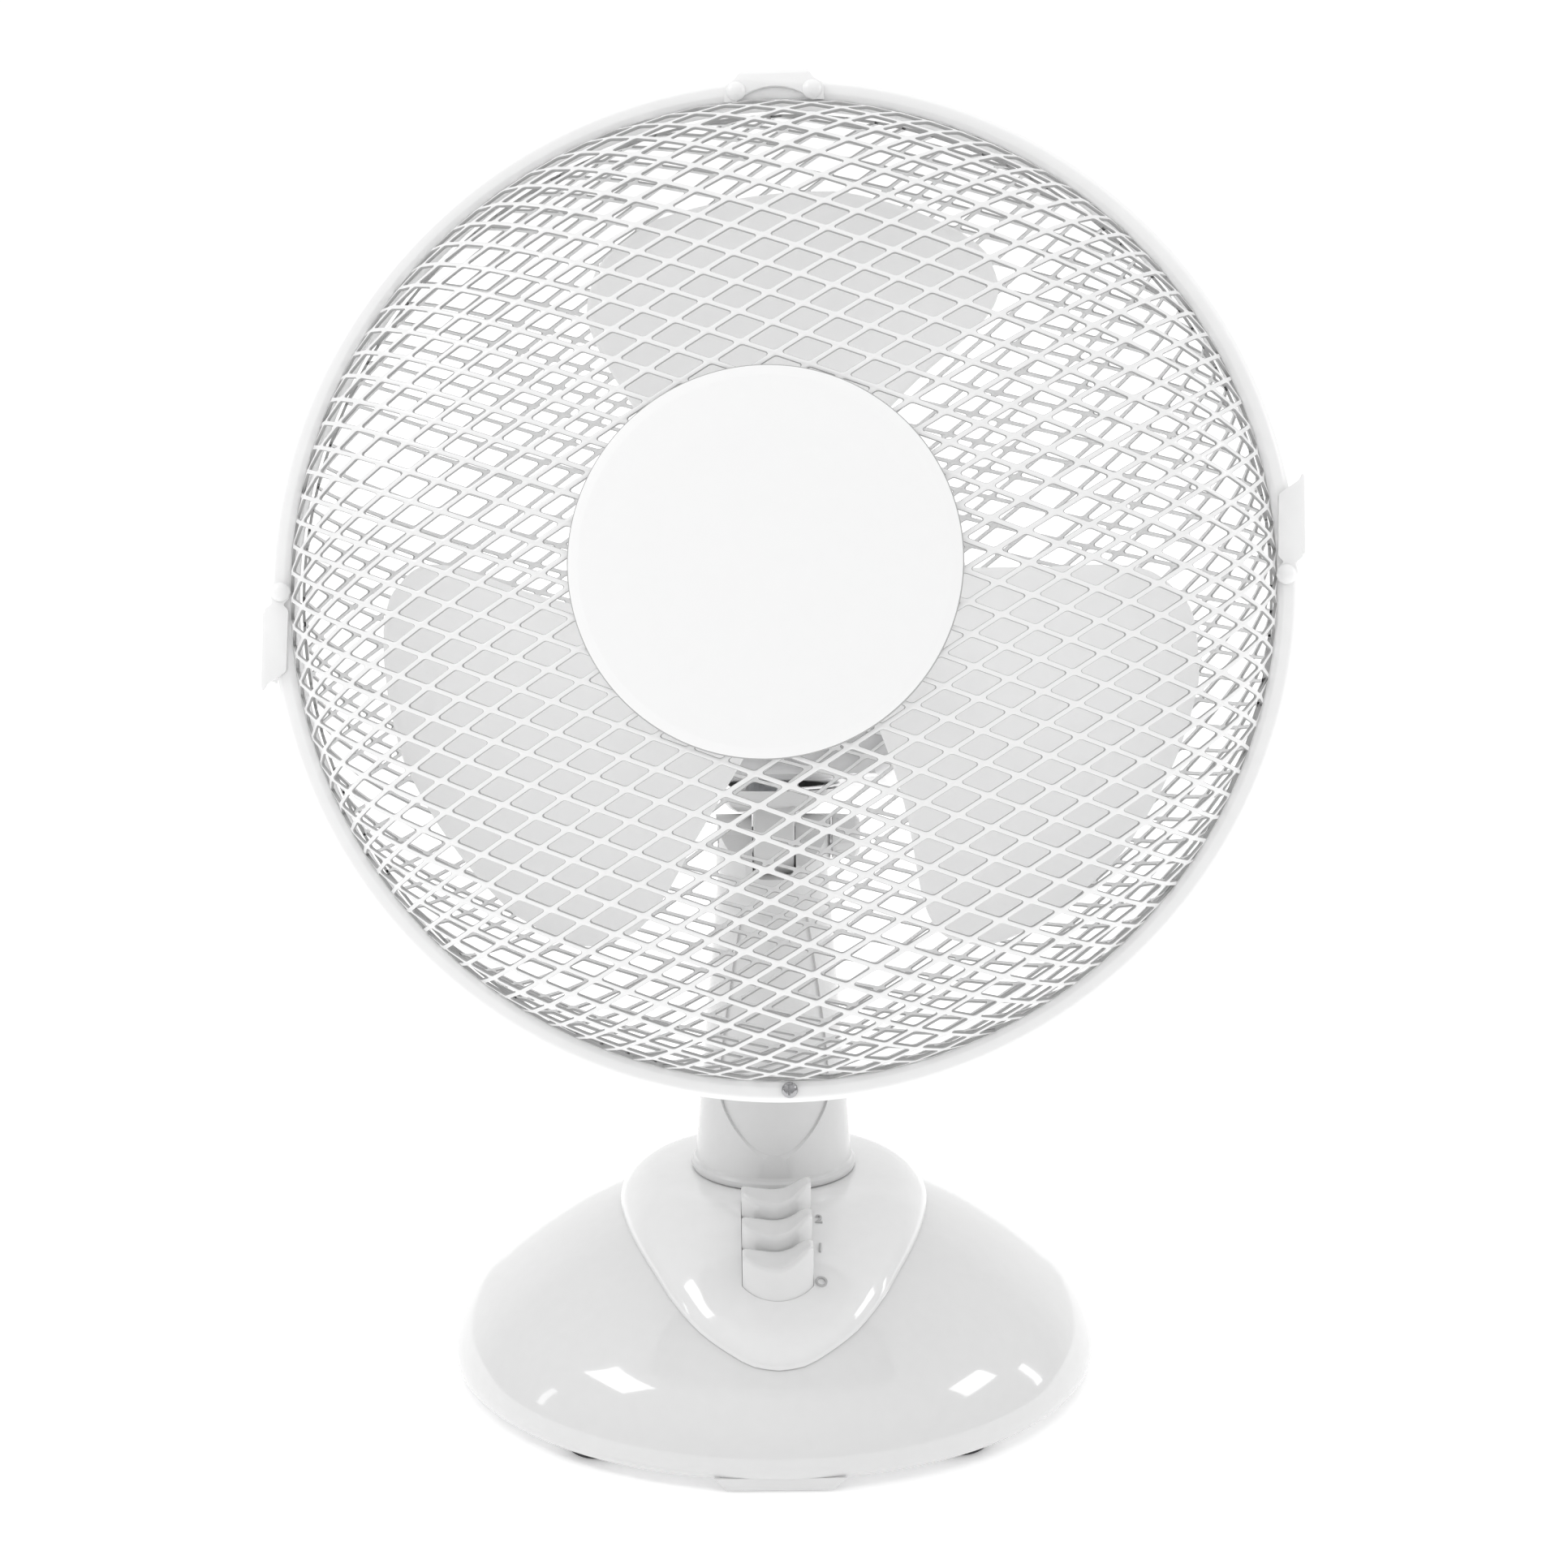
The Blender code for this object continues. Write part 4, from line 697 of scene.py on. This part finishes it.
hub_section = [
    (4.3, 13.6, 0.3), (13.5, 13.6, 2.0), (18.0, 15.0, 2.0), (19.8, 19.0, 2.0), (19.8, 47.0, 0.4),
    (17.4, 47.0, 0.4), (17.4, 21.0, 1.0), (8.0, 21.0, 1.0), (8.0, 44.0, 0.4), (4.3, 44.0, 0.3),
]
hub = turned(rounded(hub_section, steps=4), 96, "Y")
fan_body = joined(hub, *[blade(120.0 * k) for k in range(3)])
piece("fan_blades", fan_body, head_space, "rotor", ["impeller"], blade_grey)
knob_outline = rounded([(*polar(11.3 if k % 2 else 12.3, 15.0 * k), 1.2) for k in range(24)])
nut = cut(prism(knob_outline, 3.0, 13.2, "XZ"), cylinder(4.3, 6.0, 15.0, 32, "Y"))
piece("blade_nut_cap", softened(nut, 0.5, 3, 50), head_space, "rotor", ["blade_nut"],
      blade_grey)

# ---------------------------------------------------------------- motor covers
front_section = [
    (7.5, 54.5), (19.6, 54.5, 0.5), (19.6, 64.2, 0.8), (45.0, 64.2, 5.0), (50.8, 66.0, 4.0),
    (HOUSING_RADIUS, 71.0, 2.0), (HOUSING_RADIUS, 80.1, 0.3), (49.8, 80.1), (49.8, 70.4),
    (45.4, 66.4), (7.5, 66.4),
]
above_flat = block(-80, 80, 40, 190, -HOUSING_FLAT, 80)
front_cover = cut(turned(rounded(front_section, steps=5), 128, "Y"), above_flat, "INTERSECT")
front_cover = cut(front_cover, block(-22.6, 22.6, 65.4, 80.1, -HOUSING_FLAT, -44.0), "UNION")
piece("motor_front_cover", front_cover, head_space, "head", ["cover_front"],
      housing_white)

rear_section = [
    (0, 160.0), (20.0, 159.6, 20), (34.0, 156.0, 12), (44.0, 149.0, 12), (49.6, 139.0, 12),
    (52.0, 126.0, 20), (HOUSING_RADIUS, 80.4, 0.3), (0, 80.4),
]
rear_hollow = [
    (0, 157.6), (19.5, 157.3), (38.0, 151.0, 8), (47.4, 138.0, 8), (49.8, 125.6, 8),
    (49.8, 78.0), (0, 78.0),
]
rear_cover = turned(rounded(rear_section, closed=False, steps=6), 128, "Y")
rear_cover = cut(rear_cover, block(-80, 80, 60, 190, -HOUSING_FLAT, 80), "INTERSECT")
hollow = turned(rounded(rear_hollow, closed=False, steps=4), 96, "Y")
hollow = cut(hollow, block(-80, 80, 60, 190, -44.0, 80), "INTERSECT")
rear_cover = cut(rear_cover, hollow)
rear_cover = cut(rear_cover, cylinder(15.6, -50.0, -40.0, 64, centre=SWING_AXIS))
rear_cover = cut(rear_cover, cylinder(3.7, 40.0, 60.0, 32, centre=WHEEL_AT))
rear_cover = cut(rear_cover, cylinder(2.0, 150.0, 165.0, 24, "Y"))
for row in (-3, -2, -1, 1, 2, 3):
    half, level = 24.0 - 1.6 * abs(row), 6.4 * row
    vent = rounded([(-half, level - 1.1, 1.05), (half, level - 1.1, 1.05),
                    (half, level + 1.1, 1.05), (-half, level + 1.1, 1.05)], steps=4)
    rear_cover = cut(rear_cover, prism(vent, 148.0, 170.0, "XZ"))
piece("motor_rear_cover", rear_cover, head_space, "head", ["cover_rear"],
      housing_white)
cover_screw = turned(rounded([
    (0, 162.0), (2.0, 161.8, 0.8), (3.0, 160.3, 0.2), (1.5, 160.3), (1.5, 143.0), (0, 142.4)],
    closed=False), 32, "Y")
cover_cross = prism(cross, 161.0, 163.0, "XZ")
piece("cover_screw_head", cut(cover_screw, cover_cross), head_space, "head", ["cover_screw"],
      bright_steel)

ring_outline = rounded([(*polar(28.8 if k % 2 else 30.0, 7.5 * k), 1.5) for k in range(48)],
                       steps=3)
ring_nut = cut(prism(ring_outline, 55.5, 61.4, "XZ"), cylinder(20.0, 50.0, 66.0, 96, "Y"))
piece("guard_ring_nut", softened(ring_nut, 0.5, 2, 50), head_space, "head", ["guard_nut"],
      housing_white)
clutch_section = [
    (0, 61.4), (3.3, 61.4), (3.3, 51.6), (5.6, 51.6, 0.5), (6.2, 54.0, 1.5), (5.4, 58.0, 3.0),
    (7.2, 62.0, 2.0), (7.0, 64.6, 1.5), (5.0, 65.8, 2.0), (0, 66.0),
]
clutch = turned(rounded(clutch_section, closed=False), 64)
piece("clutch_pull_knob", shifted(clutch, (*WHEEL_AT, 0)), head_space, "clutch_knob",
      ["clutch_knob"], housing_white)

# ---------------------------------------------------------------- tilt bracket, knob
cup_section = [
    (0, 7.4), (11.0, 7.4, 2.0), (13.0, 8.4, 2.0), (15.0, 10.2, 3.0), (18.2, 12.6, 3.0),
    (20.3, 14.0, 0.8), (20.5, 15.4, 0.4), (18.9, 15.4, 0.4), (16.6, 13.2, 1.0), (14.0, 11.0, 1.0),
    (13.0, 10.4), (0, 10.4),
]
bracket = turned(rounded(cup_section, closed=False, steps=5), 96)
tongue_side = [polar(13.0, angle) for angle in range(186, 355, 6)]
tongue_side += [(12.6, 2.0), (11.6, 8.6), (-11.6, 8.6), (-12.6, 2.0)]
tongue = softened(prism(tongue_side, -6.2, 6.2, "YZ"), 0.7, 3, 60)
bracket = cut(bracket, tongue, "UNION")
bracket = cut(bracket, prism([(4, 15.7), (-26, 11.1), (-26, 22), (4, 22)], -25, 25, "YZ"))
bracket = cut(bracket, cylinder(3.35, -25, 25, 40, "X"))
bracket = cut(bracket, cylinder(4.3, 5.0, 20.0, 40))
stud_x, stud_y = -10.5 * math.sqrt(0.5), 10.5 * math.sqrt(0.5)
bracket = cut(bracket, cylinder(2.1, 8.4, 20.0, 24, centre=(stud_x, stud_y)))
piece("tilt_bracket_cup", bracket, tilt_space, "tilt_head", ["tilt_bracket"],
      neck_white)

knob_section = [
    (0, 24.0), (3.3, 24.0), (3.3, 17.8), (6.7, 17.8, 0.4), (6.9, 19.0, 0.4), (6.4, 25.0, 1.0),
    (5.4, 26.3, 1.0), (0, 26.4),
]
tilt_knob = turned(rounded(knob_section, closed=False, steps=4), 64, "X")
for k in range(12):
    y, z = polar(7.3, 30.0 * k)
    tilt_knob = cut(tilt_knob, shifted(cylinder(0.8, 19.0, 28.0, 12, "X"), (0, y, z)))
piece("tilt_thumb_knob", tilt_knob, bolt_space, "tilt_knob", ["tilt_knob"],
      neck_white)


# ---------------------------------------------------------------- neck
def neck_radius(height):
    slope = (NECK_TOP - NECK_FOOT) / (TOP_LEVEL - FOOT_LEVEL)
    return NECK_FOOT + (height - FOOT_LEVEL) * slope


neck_section = [
    (0, 162.0), (neck_radius(162.0) - 0.2, 162.0, 1.2), (neck_radius(TOP_LEVEL), TOP_LEVEL),
    (neck_radius(110), 110.0), (NECK_FOOT, 66.9, 1.0), (24.7, 66.0, 0.6), (25.5, 65.4, 0.7),
    (25.6, 64.3, 0.5), (25.3, 63.5), (19.3, 63.5), (19.3, 50.0), (16.8, 50.0), (16.8, 68.0),
    (14.0, 146.0), (0, 146.0),
]
neck = turned(rounded(neck_section, closed=False, steps=4), 128)
ear_side = [polar(6.9, angle) for angle in range(18, 163, 8)]
ear_side += [(-15.3, -5.5), (-15.3, -9.0), (15.3, -9.0), (15.3, -5.5)]
ears = prism(ear_side, -20, 20, "YZ")
ears = cut(ears, cylinder(17.5, -9.0, 8.0, 96), "INTERSECT")
neck = cut(neck, shifted(ears, (0, 0, PIVOT_Z)), "UNION")
slot_front = [(-6.55, 12.0), (-6.55, -9.5, 3.0), (6.55, -9.5, 3.0), (6.55, 12.0)]
neck = cut(neck, shifted(prism(rounded(slot_front, steps=8), -30, 30, "XZ"), (0, 0, PIVOT_Z)))
neck = cut(neck, shifted(cylinder(13.4, -6.55, 6.55, 72, "X"), (0, 0, PIVOT_Z)))
neck = cut(neck, shifted(cylinder(3.35, -25, 25, 40, "X"), (0, 0, PIVOT_Z)))
neck = cut(neck, shifted(cylinder(5.8, -25, -13.6, 40, "X"), (0, 0, PIVOT_Z)))
INSET_HALF = [(73.7, 0.0), (74.2, 2.6), (75.4, 5.2), (78.2, 8.8), (83.0, 12.9), (89.5, 15.9),
              (105.0, 15.6), (130.0, 12.4), (148.0, 9.6)]


def neck_inset():
    """A cutter with sloping walls and a floor that follows the neck, 0.9 mm under its surface."""
    columns = 16
    heights = [73.7 + 74.3 * (k / 40) ** 2 for k in range(41)]
    bm = bmesh.new()
    floor_rows, front_rows = [], []
    for height in heights:
        half = max(eased(INSET_HALF, height), 0.05)
        floor_row, front_row = [], []
        for k in range(columns + 1):
            u = 2.0 * k / columns - 1.0
            x, radius = u * half, neck_radius(height) - 0.9
            floor_row.append(bm.verts.new((x, -math.sqrt(radius**2 - x**2), height)))
            drop = 9.0 * (1.0 - min(half / 12.0, 1.0))
            front_row.append(bm.verts.new((u * (half + 8.0), -28.0, height - drop)))
        floor_rows.append(floor_row)
        front_rows.append(front_row)
    for i in range(len(heights) - 1):
        for k in range(columns):
            for rows in (floor_rows, front_rows):
                bm.faces.new((rows[i][k], rows[i][k + 1], rows[i + 1][k + 1], rows[i + 1][k]))
        for k in (0, -1):
            bm.faces.new((floor_rows[i][k], floor_rows[i + 1][k], front_rows[i + 1][k],
                          front_rows[i][k]))
    for k in range(columns):
        for i in (0, -1):
            bm.faces.new((floor_rows[i][k], floor_rows[i][k + 1], front_rows[i][k + 1],
                          front_rows[i][k]))
    return bm


neck = cut(neck, neck_inset())
piece("neck_stem", neck, neck_space, "base", ["neck_column"], neck_white, sharp=30)


# ---------------------------------------------------------------- base
def base_height(radius):
    """Height of the base's outside at a distance from the neck's axis."""
    rows = [(NECK_HOLE, 60.8), (30, 59.0), (46, 53.5), (61, 46.5), (73, 39.4), (83.5, 32.0),
            (91.5, 25.5), (96.7, 19.0)]
    return eased(rows, radius)


def base_section():
    """The base's wall: a smooth outside from the underside to the neck, then the inside."""
    heights = [(3.4, 99.2), (4.2, 100.0), (5.6, 100.6), (8.0, 100.8), (12.5, 99.8), (19.0, 96.7),
               (25.5, 91.5), (32.0, 83.5)]
    outside = [(98.9, 3.3)]
    outside += [(eased(heights, 3.6 + 28.4 * k / 36), 3.6 + 28.4 * k / 36) for k in range(37)]
    outside += [(83.5 - 63.8 * k / 40, base_height(83.5 - 63.8 * k / 40)) for k in range(1, 41)]
    inside = [(NECK_HOLE, 58.3), (29.2, 56.3), (59.6, 43.9), (81.6, 29.6), (94.2, 17.4),
              (98.2, 7.0), (98.1, 3.3)]
    return outside + inside


def key_bow(u):
    """Depth of a key's round front from its place, across its width; negative is ahead."""
    return -KEY_AHEAD + KEY_ROUND - math.sqrt(KEY_ROUND**2 - (u * BUTTON_HALF) ** 2)


slot_outline = [(SLOT_HALF, SLOT_BACK), (-SLOT_HALF, SLOT_BACK)]
for k in range(-12, 13):
    slot_outline.append((SLOT_HALF * k / 12, BUTTON_FRONT - SLOT_GAP + key_bow(k / 12)))
shell = turned(base_section(), 192)
tab = [(-19.0, 4.2), (-15.2, 0.6, 0.3), (15.2, 0.6, 0.3), (19.0, 4.2)]
shell = cut(shell, prism(rounded(tab, steps=2), -99.6, -98.4, "XZ"), "UNION")
post_spots = [polar(78.0, 45.0 + 90.0 * k) for k in range(4)]
for x, y in post_spots:
    shell = cut(shell, shifted(cylinder(3.4, 5.4, 32.0, 24), (x, y, 0)), "UNION")
    shell = cut(shell, shifted(cylinder(2.0, 4.0, 19.0, 24), (x, y, 0)))
shell = cut(shell, shifted(cylinder(5.3, 88.0, 110.0, 40, "Y"), (0, 0, 10.5)))
shell = cut(shell, prism(slot_outline, 30.0, 90.0))
piece("base_dome", shell, neck_space, "base", ["base_shell"], gloss_white, sharp=30)


def panel_surface(radius, share):
    """Height of the panel's outside: a bulge over the base that eases into a flat top."""
    raised = base_height(radius) + (1.0 + PANEL_BULGE * math.sqrt(max(1 - share**5, 0.0)))
    return raised - TOP_EASE * math.log1p(math.exp((raised - PANEL_TOP) / TOP_EASE))


def panel():
    """The raised shield that carries the keys, pointed at the front and round behind."""
    turns, rings = 144, 26
    bm = bmesh.new()
    upper, lower = [], []
    for k in range(turns):
        angle = 360.0 * k / turns
        reach = eased(PANEL_REACH, min(angle, 360 - angle))
        top_row, low_row = [], []
        for j in range(rings + 1):
            share = math.sin(math.pi / 2 * j / rings)
            radius = NECK_HOLE + share * (reach - NECK_HOLE)
            x, y = polar(radius, angle - 90.0)
            top = panel_surface(radius, share)
            low = max(base_height(radius) + 0.35, top - 2.4)
            top_row.append(bm.verts.new((x, y, top)))
            low_row.append(bm.verts.new((x, y, min(low, top - 0.25))))
        upper.append(top_row)
        lower.append(low_row)
    for k in range(turns):
        n = (k + 1) % turns
        for j in range(rings):
            bm.faces.new((upper[k][j], upper[k][j + 1], upper[n][j + 1], upper[n][j]))
            bm.faces.new((lower[k][j], lower[n][j], lower[n][j + 1], lower[k][j + 1]))
        bm.faces.new((upper[k][0], upper[n][0], lower[n][0], lower[k][0]))
        bm.faces.new((upper[k][-1], lower[k][-1], lower[n][-1], upper[n][-1]))
    return bm


panel_body = cut(panel(), prism(slot_outline, 30.0, 90.0))
piece("key_panel", panel_body, neck_space, "base", ["control_panel"], panel_white)

foot_spots = [polar(87.5, angle) for angle in (232.5, 307.5, 52.5, 127.5)]
foot_section = rounded([
    (0, 0), (7.4, 0, 0.8), (8.5, 0.9, 0.6), (8.5, 2.3, 0.3), (3.1, 2.3, 0.3), (3.1, 6.0, 0.4),
    (0, 6.0)], closed=False)
for number, (x, y) in enumerate(foot_spots, 1):
    piece(f"rubber_foot_{number}", shifted(turned(foot_section, 48), (x, y, 0)), neck_space,
          "base", [f"foot_{number}"], foot_rubber)
gland_section = rounded([
    (2.7, 90.0), (4.9, 90.0), (4.9, 101.4, 0.3), (6.6, 101.4, 0.3), (6.3, 103.4, 0.8),
    (2.7, 103.4, 0.5)])
gland = shifted(turned(gland_section, 64, "Y"), (0, 0, 10.5))
piece("cord_gland_ring", gland, neck_space, "base", ["cord_gland"],
      inner_plastic)

# ---------------------------------------------------------------- keys
SADDLE = [
    (-1.0, -1.7), (-0.9, -1.3), (-0.5, -1.8), (0.0, -2.2), (0.35, -1.3), (0.7, 0.9), (0.88, 1.6),
    (1.0, 1.2),
]


def key(top):
    """A key with a saddle-shaped finger seat and a bowed front, with soft edges all round."""
    columns, rows = 40, 14
    bm = bmesh.new()
    upper, lower = [], []
    for i in range(columns + 1):
        u = -math.cos(math.pi * i / columns)
        bow = key_bow(u)
        crest = top + eased(SADDLE, u)
        front_crest = crest - 1.1 * (1 - u * u)
        path = []
        for step in range(7):
            turn = math.pi / 2 * step / 6
            path.append((bow + 1.7 * (1 - math.cos(turn)), front_crest - 1.7 * (1 - math.sin(turn))))
        for step in range(1, rows + 1):
            share = step / rows
            height = front_crest + (crest - front_crest) * share - 0.5 * share**8
            path.append((bow + 1.7 + (BUTTON_DEPTH - bow - 1.7) * share, height))
        upper.append([bm.verts.new((u * BUTTON_HALF, y, z)) for y, z in path])
        lower.append([bm.verts.new((u * BUTTON_HALF, y, 40.0)) for y, _ in path])
    count = len(upper[0])
    for i in range(columns):
        for j in range(count - 1):
            bm.faces.new((upper[i][j], upper[i + 1][j], upper[i + 1][j + 1], upper[i][j + 1]))
            bm.faces.new((lower[i][j], lower[i][j + 1], lower[i + 1][j + 1], lower[i + 1][j]))
        for j in (0, -1):
            bm.faces.new((upper[i][j], upper[i + 1][j], lower[i + 1][j], lower[i][j]))
    for i in (0, -1):
        for j in range(count - 1):
            bm.faces.new((upper[i][j], upper[i][j + 1], lower[i][j + 1], lower[i][j]))
    bmesh.ops.recalc_face_normals(bm, faces=bm.faces)
    return softened(bm, 0.7, 3, 50)


for number in range(3):
    front = BUTTON_FRONT + BUTTON_PITCH * number
    body = joined(key(BUTTON_TOP + BUTTON_RISE * number), block(-2.6, 2.6, 2.8, 7.8, 28.0, 41.0))
    piece(f"speed_key_{number}", shifted(body, (0, front, 0)), neck_space, f"button_{number}",
          [f"button_{number}"], button_white)


def panel_height(x, y):
    """Height of the panel's outside over a point beside the keys."""
    radius = math.hypot(x, y)
    angle = abs(math.degrees(math.atan2(x, -y)))
    share = (radius - NECK_HOLE) / (eased(PANEL_REACH, angle) - NECK_HOLE)
    return panel_surface(radius, share)


def numeral(text, x, y):
    """A small raised figure lying on the panel."""
    curve = bpy.data.curves.new("figure", "FONT")
    curve.body = text
    curve.size = 4.6
    curve.extrude = 0.45
    curve.bevel_depth = 0.09
    curve.bevel_resolution = 1
    curve.align_x = "CENTER"
    curve.align_y = "CENTER"
    holder = bpy.data.objects.new("figure", curve)
    bpy.context.scene.collection.objects.link(holder)
    bpy.context.view_layer.update()
    mesh = bpy.data.meshes.new_from_object(holder.evaluated_get(
        bpy.context.evaluated_depsgraph_get()))
    bpy.data.objects.remove(holder)
    bm = bmesh.new()
    bm.from_mesh(mesh)
    bmesh.ops.remove_doubles(bm, verts=bm.verts, dist=0.0005)
    here = Vector((x, y, panel_height(x, y)))
    along = Vector((x + 1, y, panel_height(x + 1, y))) - here
    away = Vector((x, y + 1, panel_height(x, y + 1))) - here
    across = along.normalized()
    out = across.cross(away).normalized()
    turn = Matrix((across, out.cross(across), out)).transposed().to_4x4()
    turn.translation = here
    bm.transform(turn)
    return bm


# the nought is drawn as a capital O
# each figure takes the grey painted shade, for the shading on a raised figure
for number in range(3):
    spot = (12.7, BUTTON_FRONT + 4.7 + 10.9 * number)
    piece(f"figure_{number}", numeral("O12"[number], *spot), neck_space, "base", [],
          figure_painted_shade)

# ---------------------------------------------------------------- floor, light and camera
scene = bpy.context.scene
scene.view_settings.view_transform = "Standard"
world = bpy.data.worlds.new("studio")
world.use_nodes = True
sky, sky_links = world.node_tree.nodes, world.node_tree.links
where_to = sky.new("ShaderNodeTexCoord")
parts = sky.new("ShaderNodeSeparateXYZ")
brighter = sky.new("ShaderNodeMath")
brighter.operation = "MAXIMUM"
ramps = (
    ("Y", 0.35, 0.80, SIDE_LIGHT, BACK_LIGHT),
    ("Z", 0.00, 0.90, SIDE_LIGHT, TOP_LIGHT),
)
sky_links.new(where_to.outputs["Generated"], parts.inputs["Vector"])
for number, (axis, start, end, dim, bright) in enumerate(ramps):
    ramp = sky.new("ShaderNodeMapRange")
    ramp.interpolation_type = "SMOOTHSTEP"
    ramp.inputs["From Min"].default_value = start
    ramp.inputs["From Max"].default_value = end
    ramp.inputs["To Min"].default_value = dim
    ramp.inputs["To Max"].default_value = bright
    sky_links.new(parts.outputs[axis], ramp.inputs["Value"])
    sky_links.new(ramp.outputs["Result"], brighter.inputs[number])
sky["Background"].inputs["Color"].default_value = (1.0, 1.0, 1.0, 1.0)
sky_links.new(brighter.outputs[0], sky["Background"].inputs["Strength"])
scene.world = world

floor_mesh = bmesh.new()
bmesh.ops.create_grid(floor_mesh, x_segments=2, y_segments=2, size=6.0)
floor = to_object("floor", floor_mesh)
floor.location = (0, 0, -0.0002)
floor_look = material("studio_floor", (0.90, 0.90, 0.90), 0.7, specks=0.004)
floor_shader = floor_look.node_tree.nodes["Principled BSDF"]
floor_shader.inputs["Emission Color"].default_value = (1.0, 1.0, 1.0, 1.0)
floor_shader.inputs["Emission Strength"].default_value = FLOOR_GLOW
floor.data.materials.append(floor_look)


def softbox(name, direction, distance, width, height, radiance):
    """A rectangular light that faces the base from a direction; radiance is its brightness."""
    light = bpy.data.lights.new(name, "AREA")
    light.shape = "RECTANGLE"
    light.size = width
    light.size_y = height
    light.energy = radiance * math.pi * width * height
    holder = bpy.data.objects.new(name, light)
    scene.collection.objects.link(holder)
    target = Vector((0.0, 0.0, 0.03))
    holder.location = target + Vector(direction).normalized() * distance
    holder.rotation_euler = (target - holder.location).to_track_quat("-Z", "Y").to_euler()
    return holder


softbox("box_left", (-0.64, -0.12, 0.76), 1.5, 0.48, 0.34, 5.5)
softbox("box_right", (0.83, -0.10, 0.54), 1.5, 0.40, 0.28, 5.0)
softbox("strip_right", (0.95, 0.20, 0.22), 1.6, 0.10, 0.50, 4.0)
softbox("strip_left", (-0.96, -0.05, 0.26), 1.6, 0.08, 0.45, 3.0)

CAMERA_FROM_NECK = Vector((-0.0175, -0.9154, 0.3962))
LOOK_DOWN, LOOK_ASIDE = 13.0, 1.3      # degrees
camera_data = bpy.data.cameras.new("camera")
camera_data.lens = 71.0
camera_data.sensor_width = 36.0
camera_data.clip_start = 0.01
camera = bpy.data.objects.new("camera", camera_data)
scene.collection.objects.link(camera)
camera.location = Vector((pivot.x, pivot.y, 0.0)) + CAMERA_FROM_NECK
camera.rotation_euler = (math.radians(90.0 - LOOK_DOWN), 0.0, math.radians(-LOOK_ASIDE))
scene.camera = camera
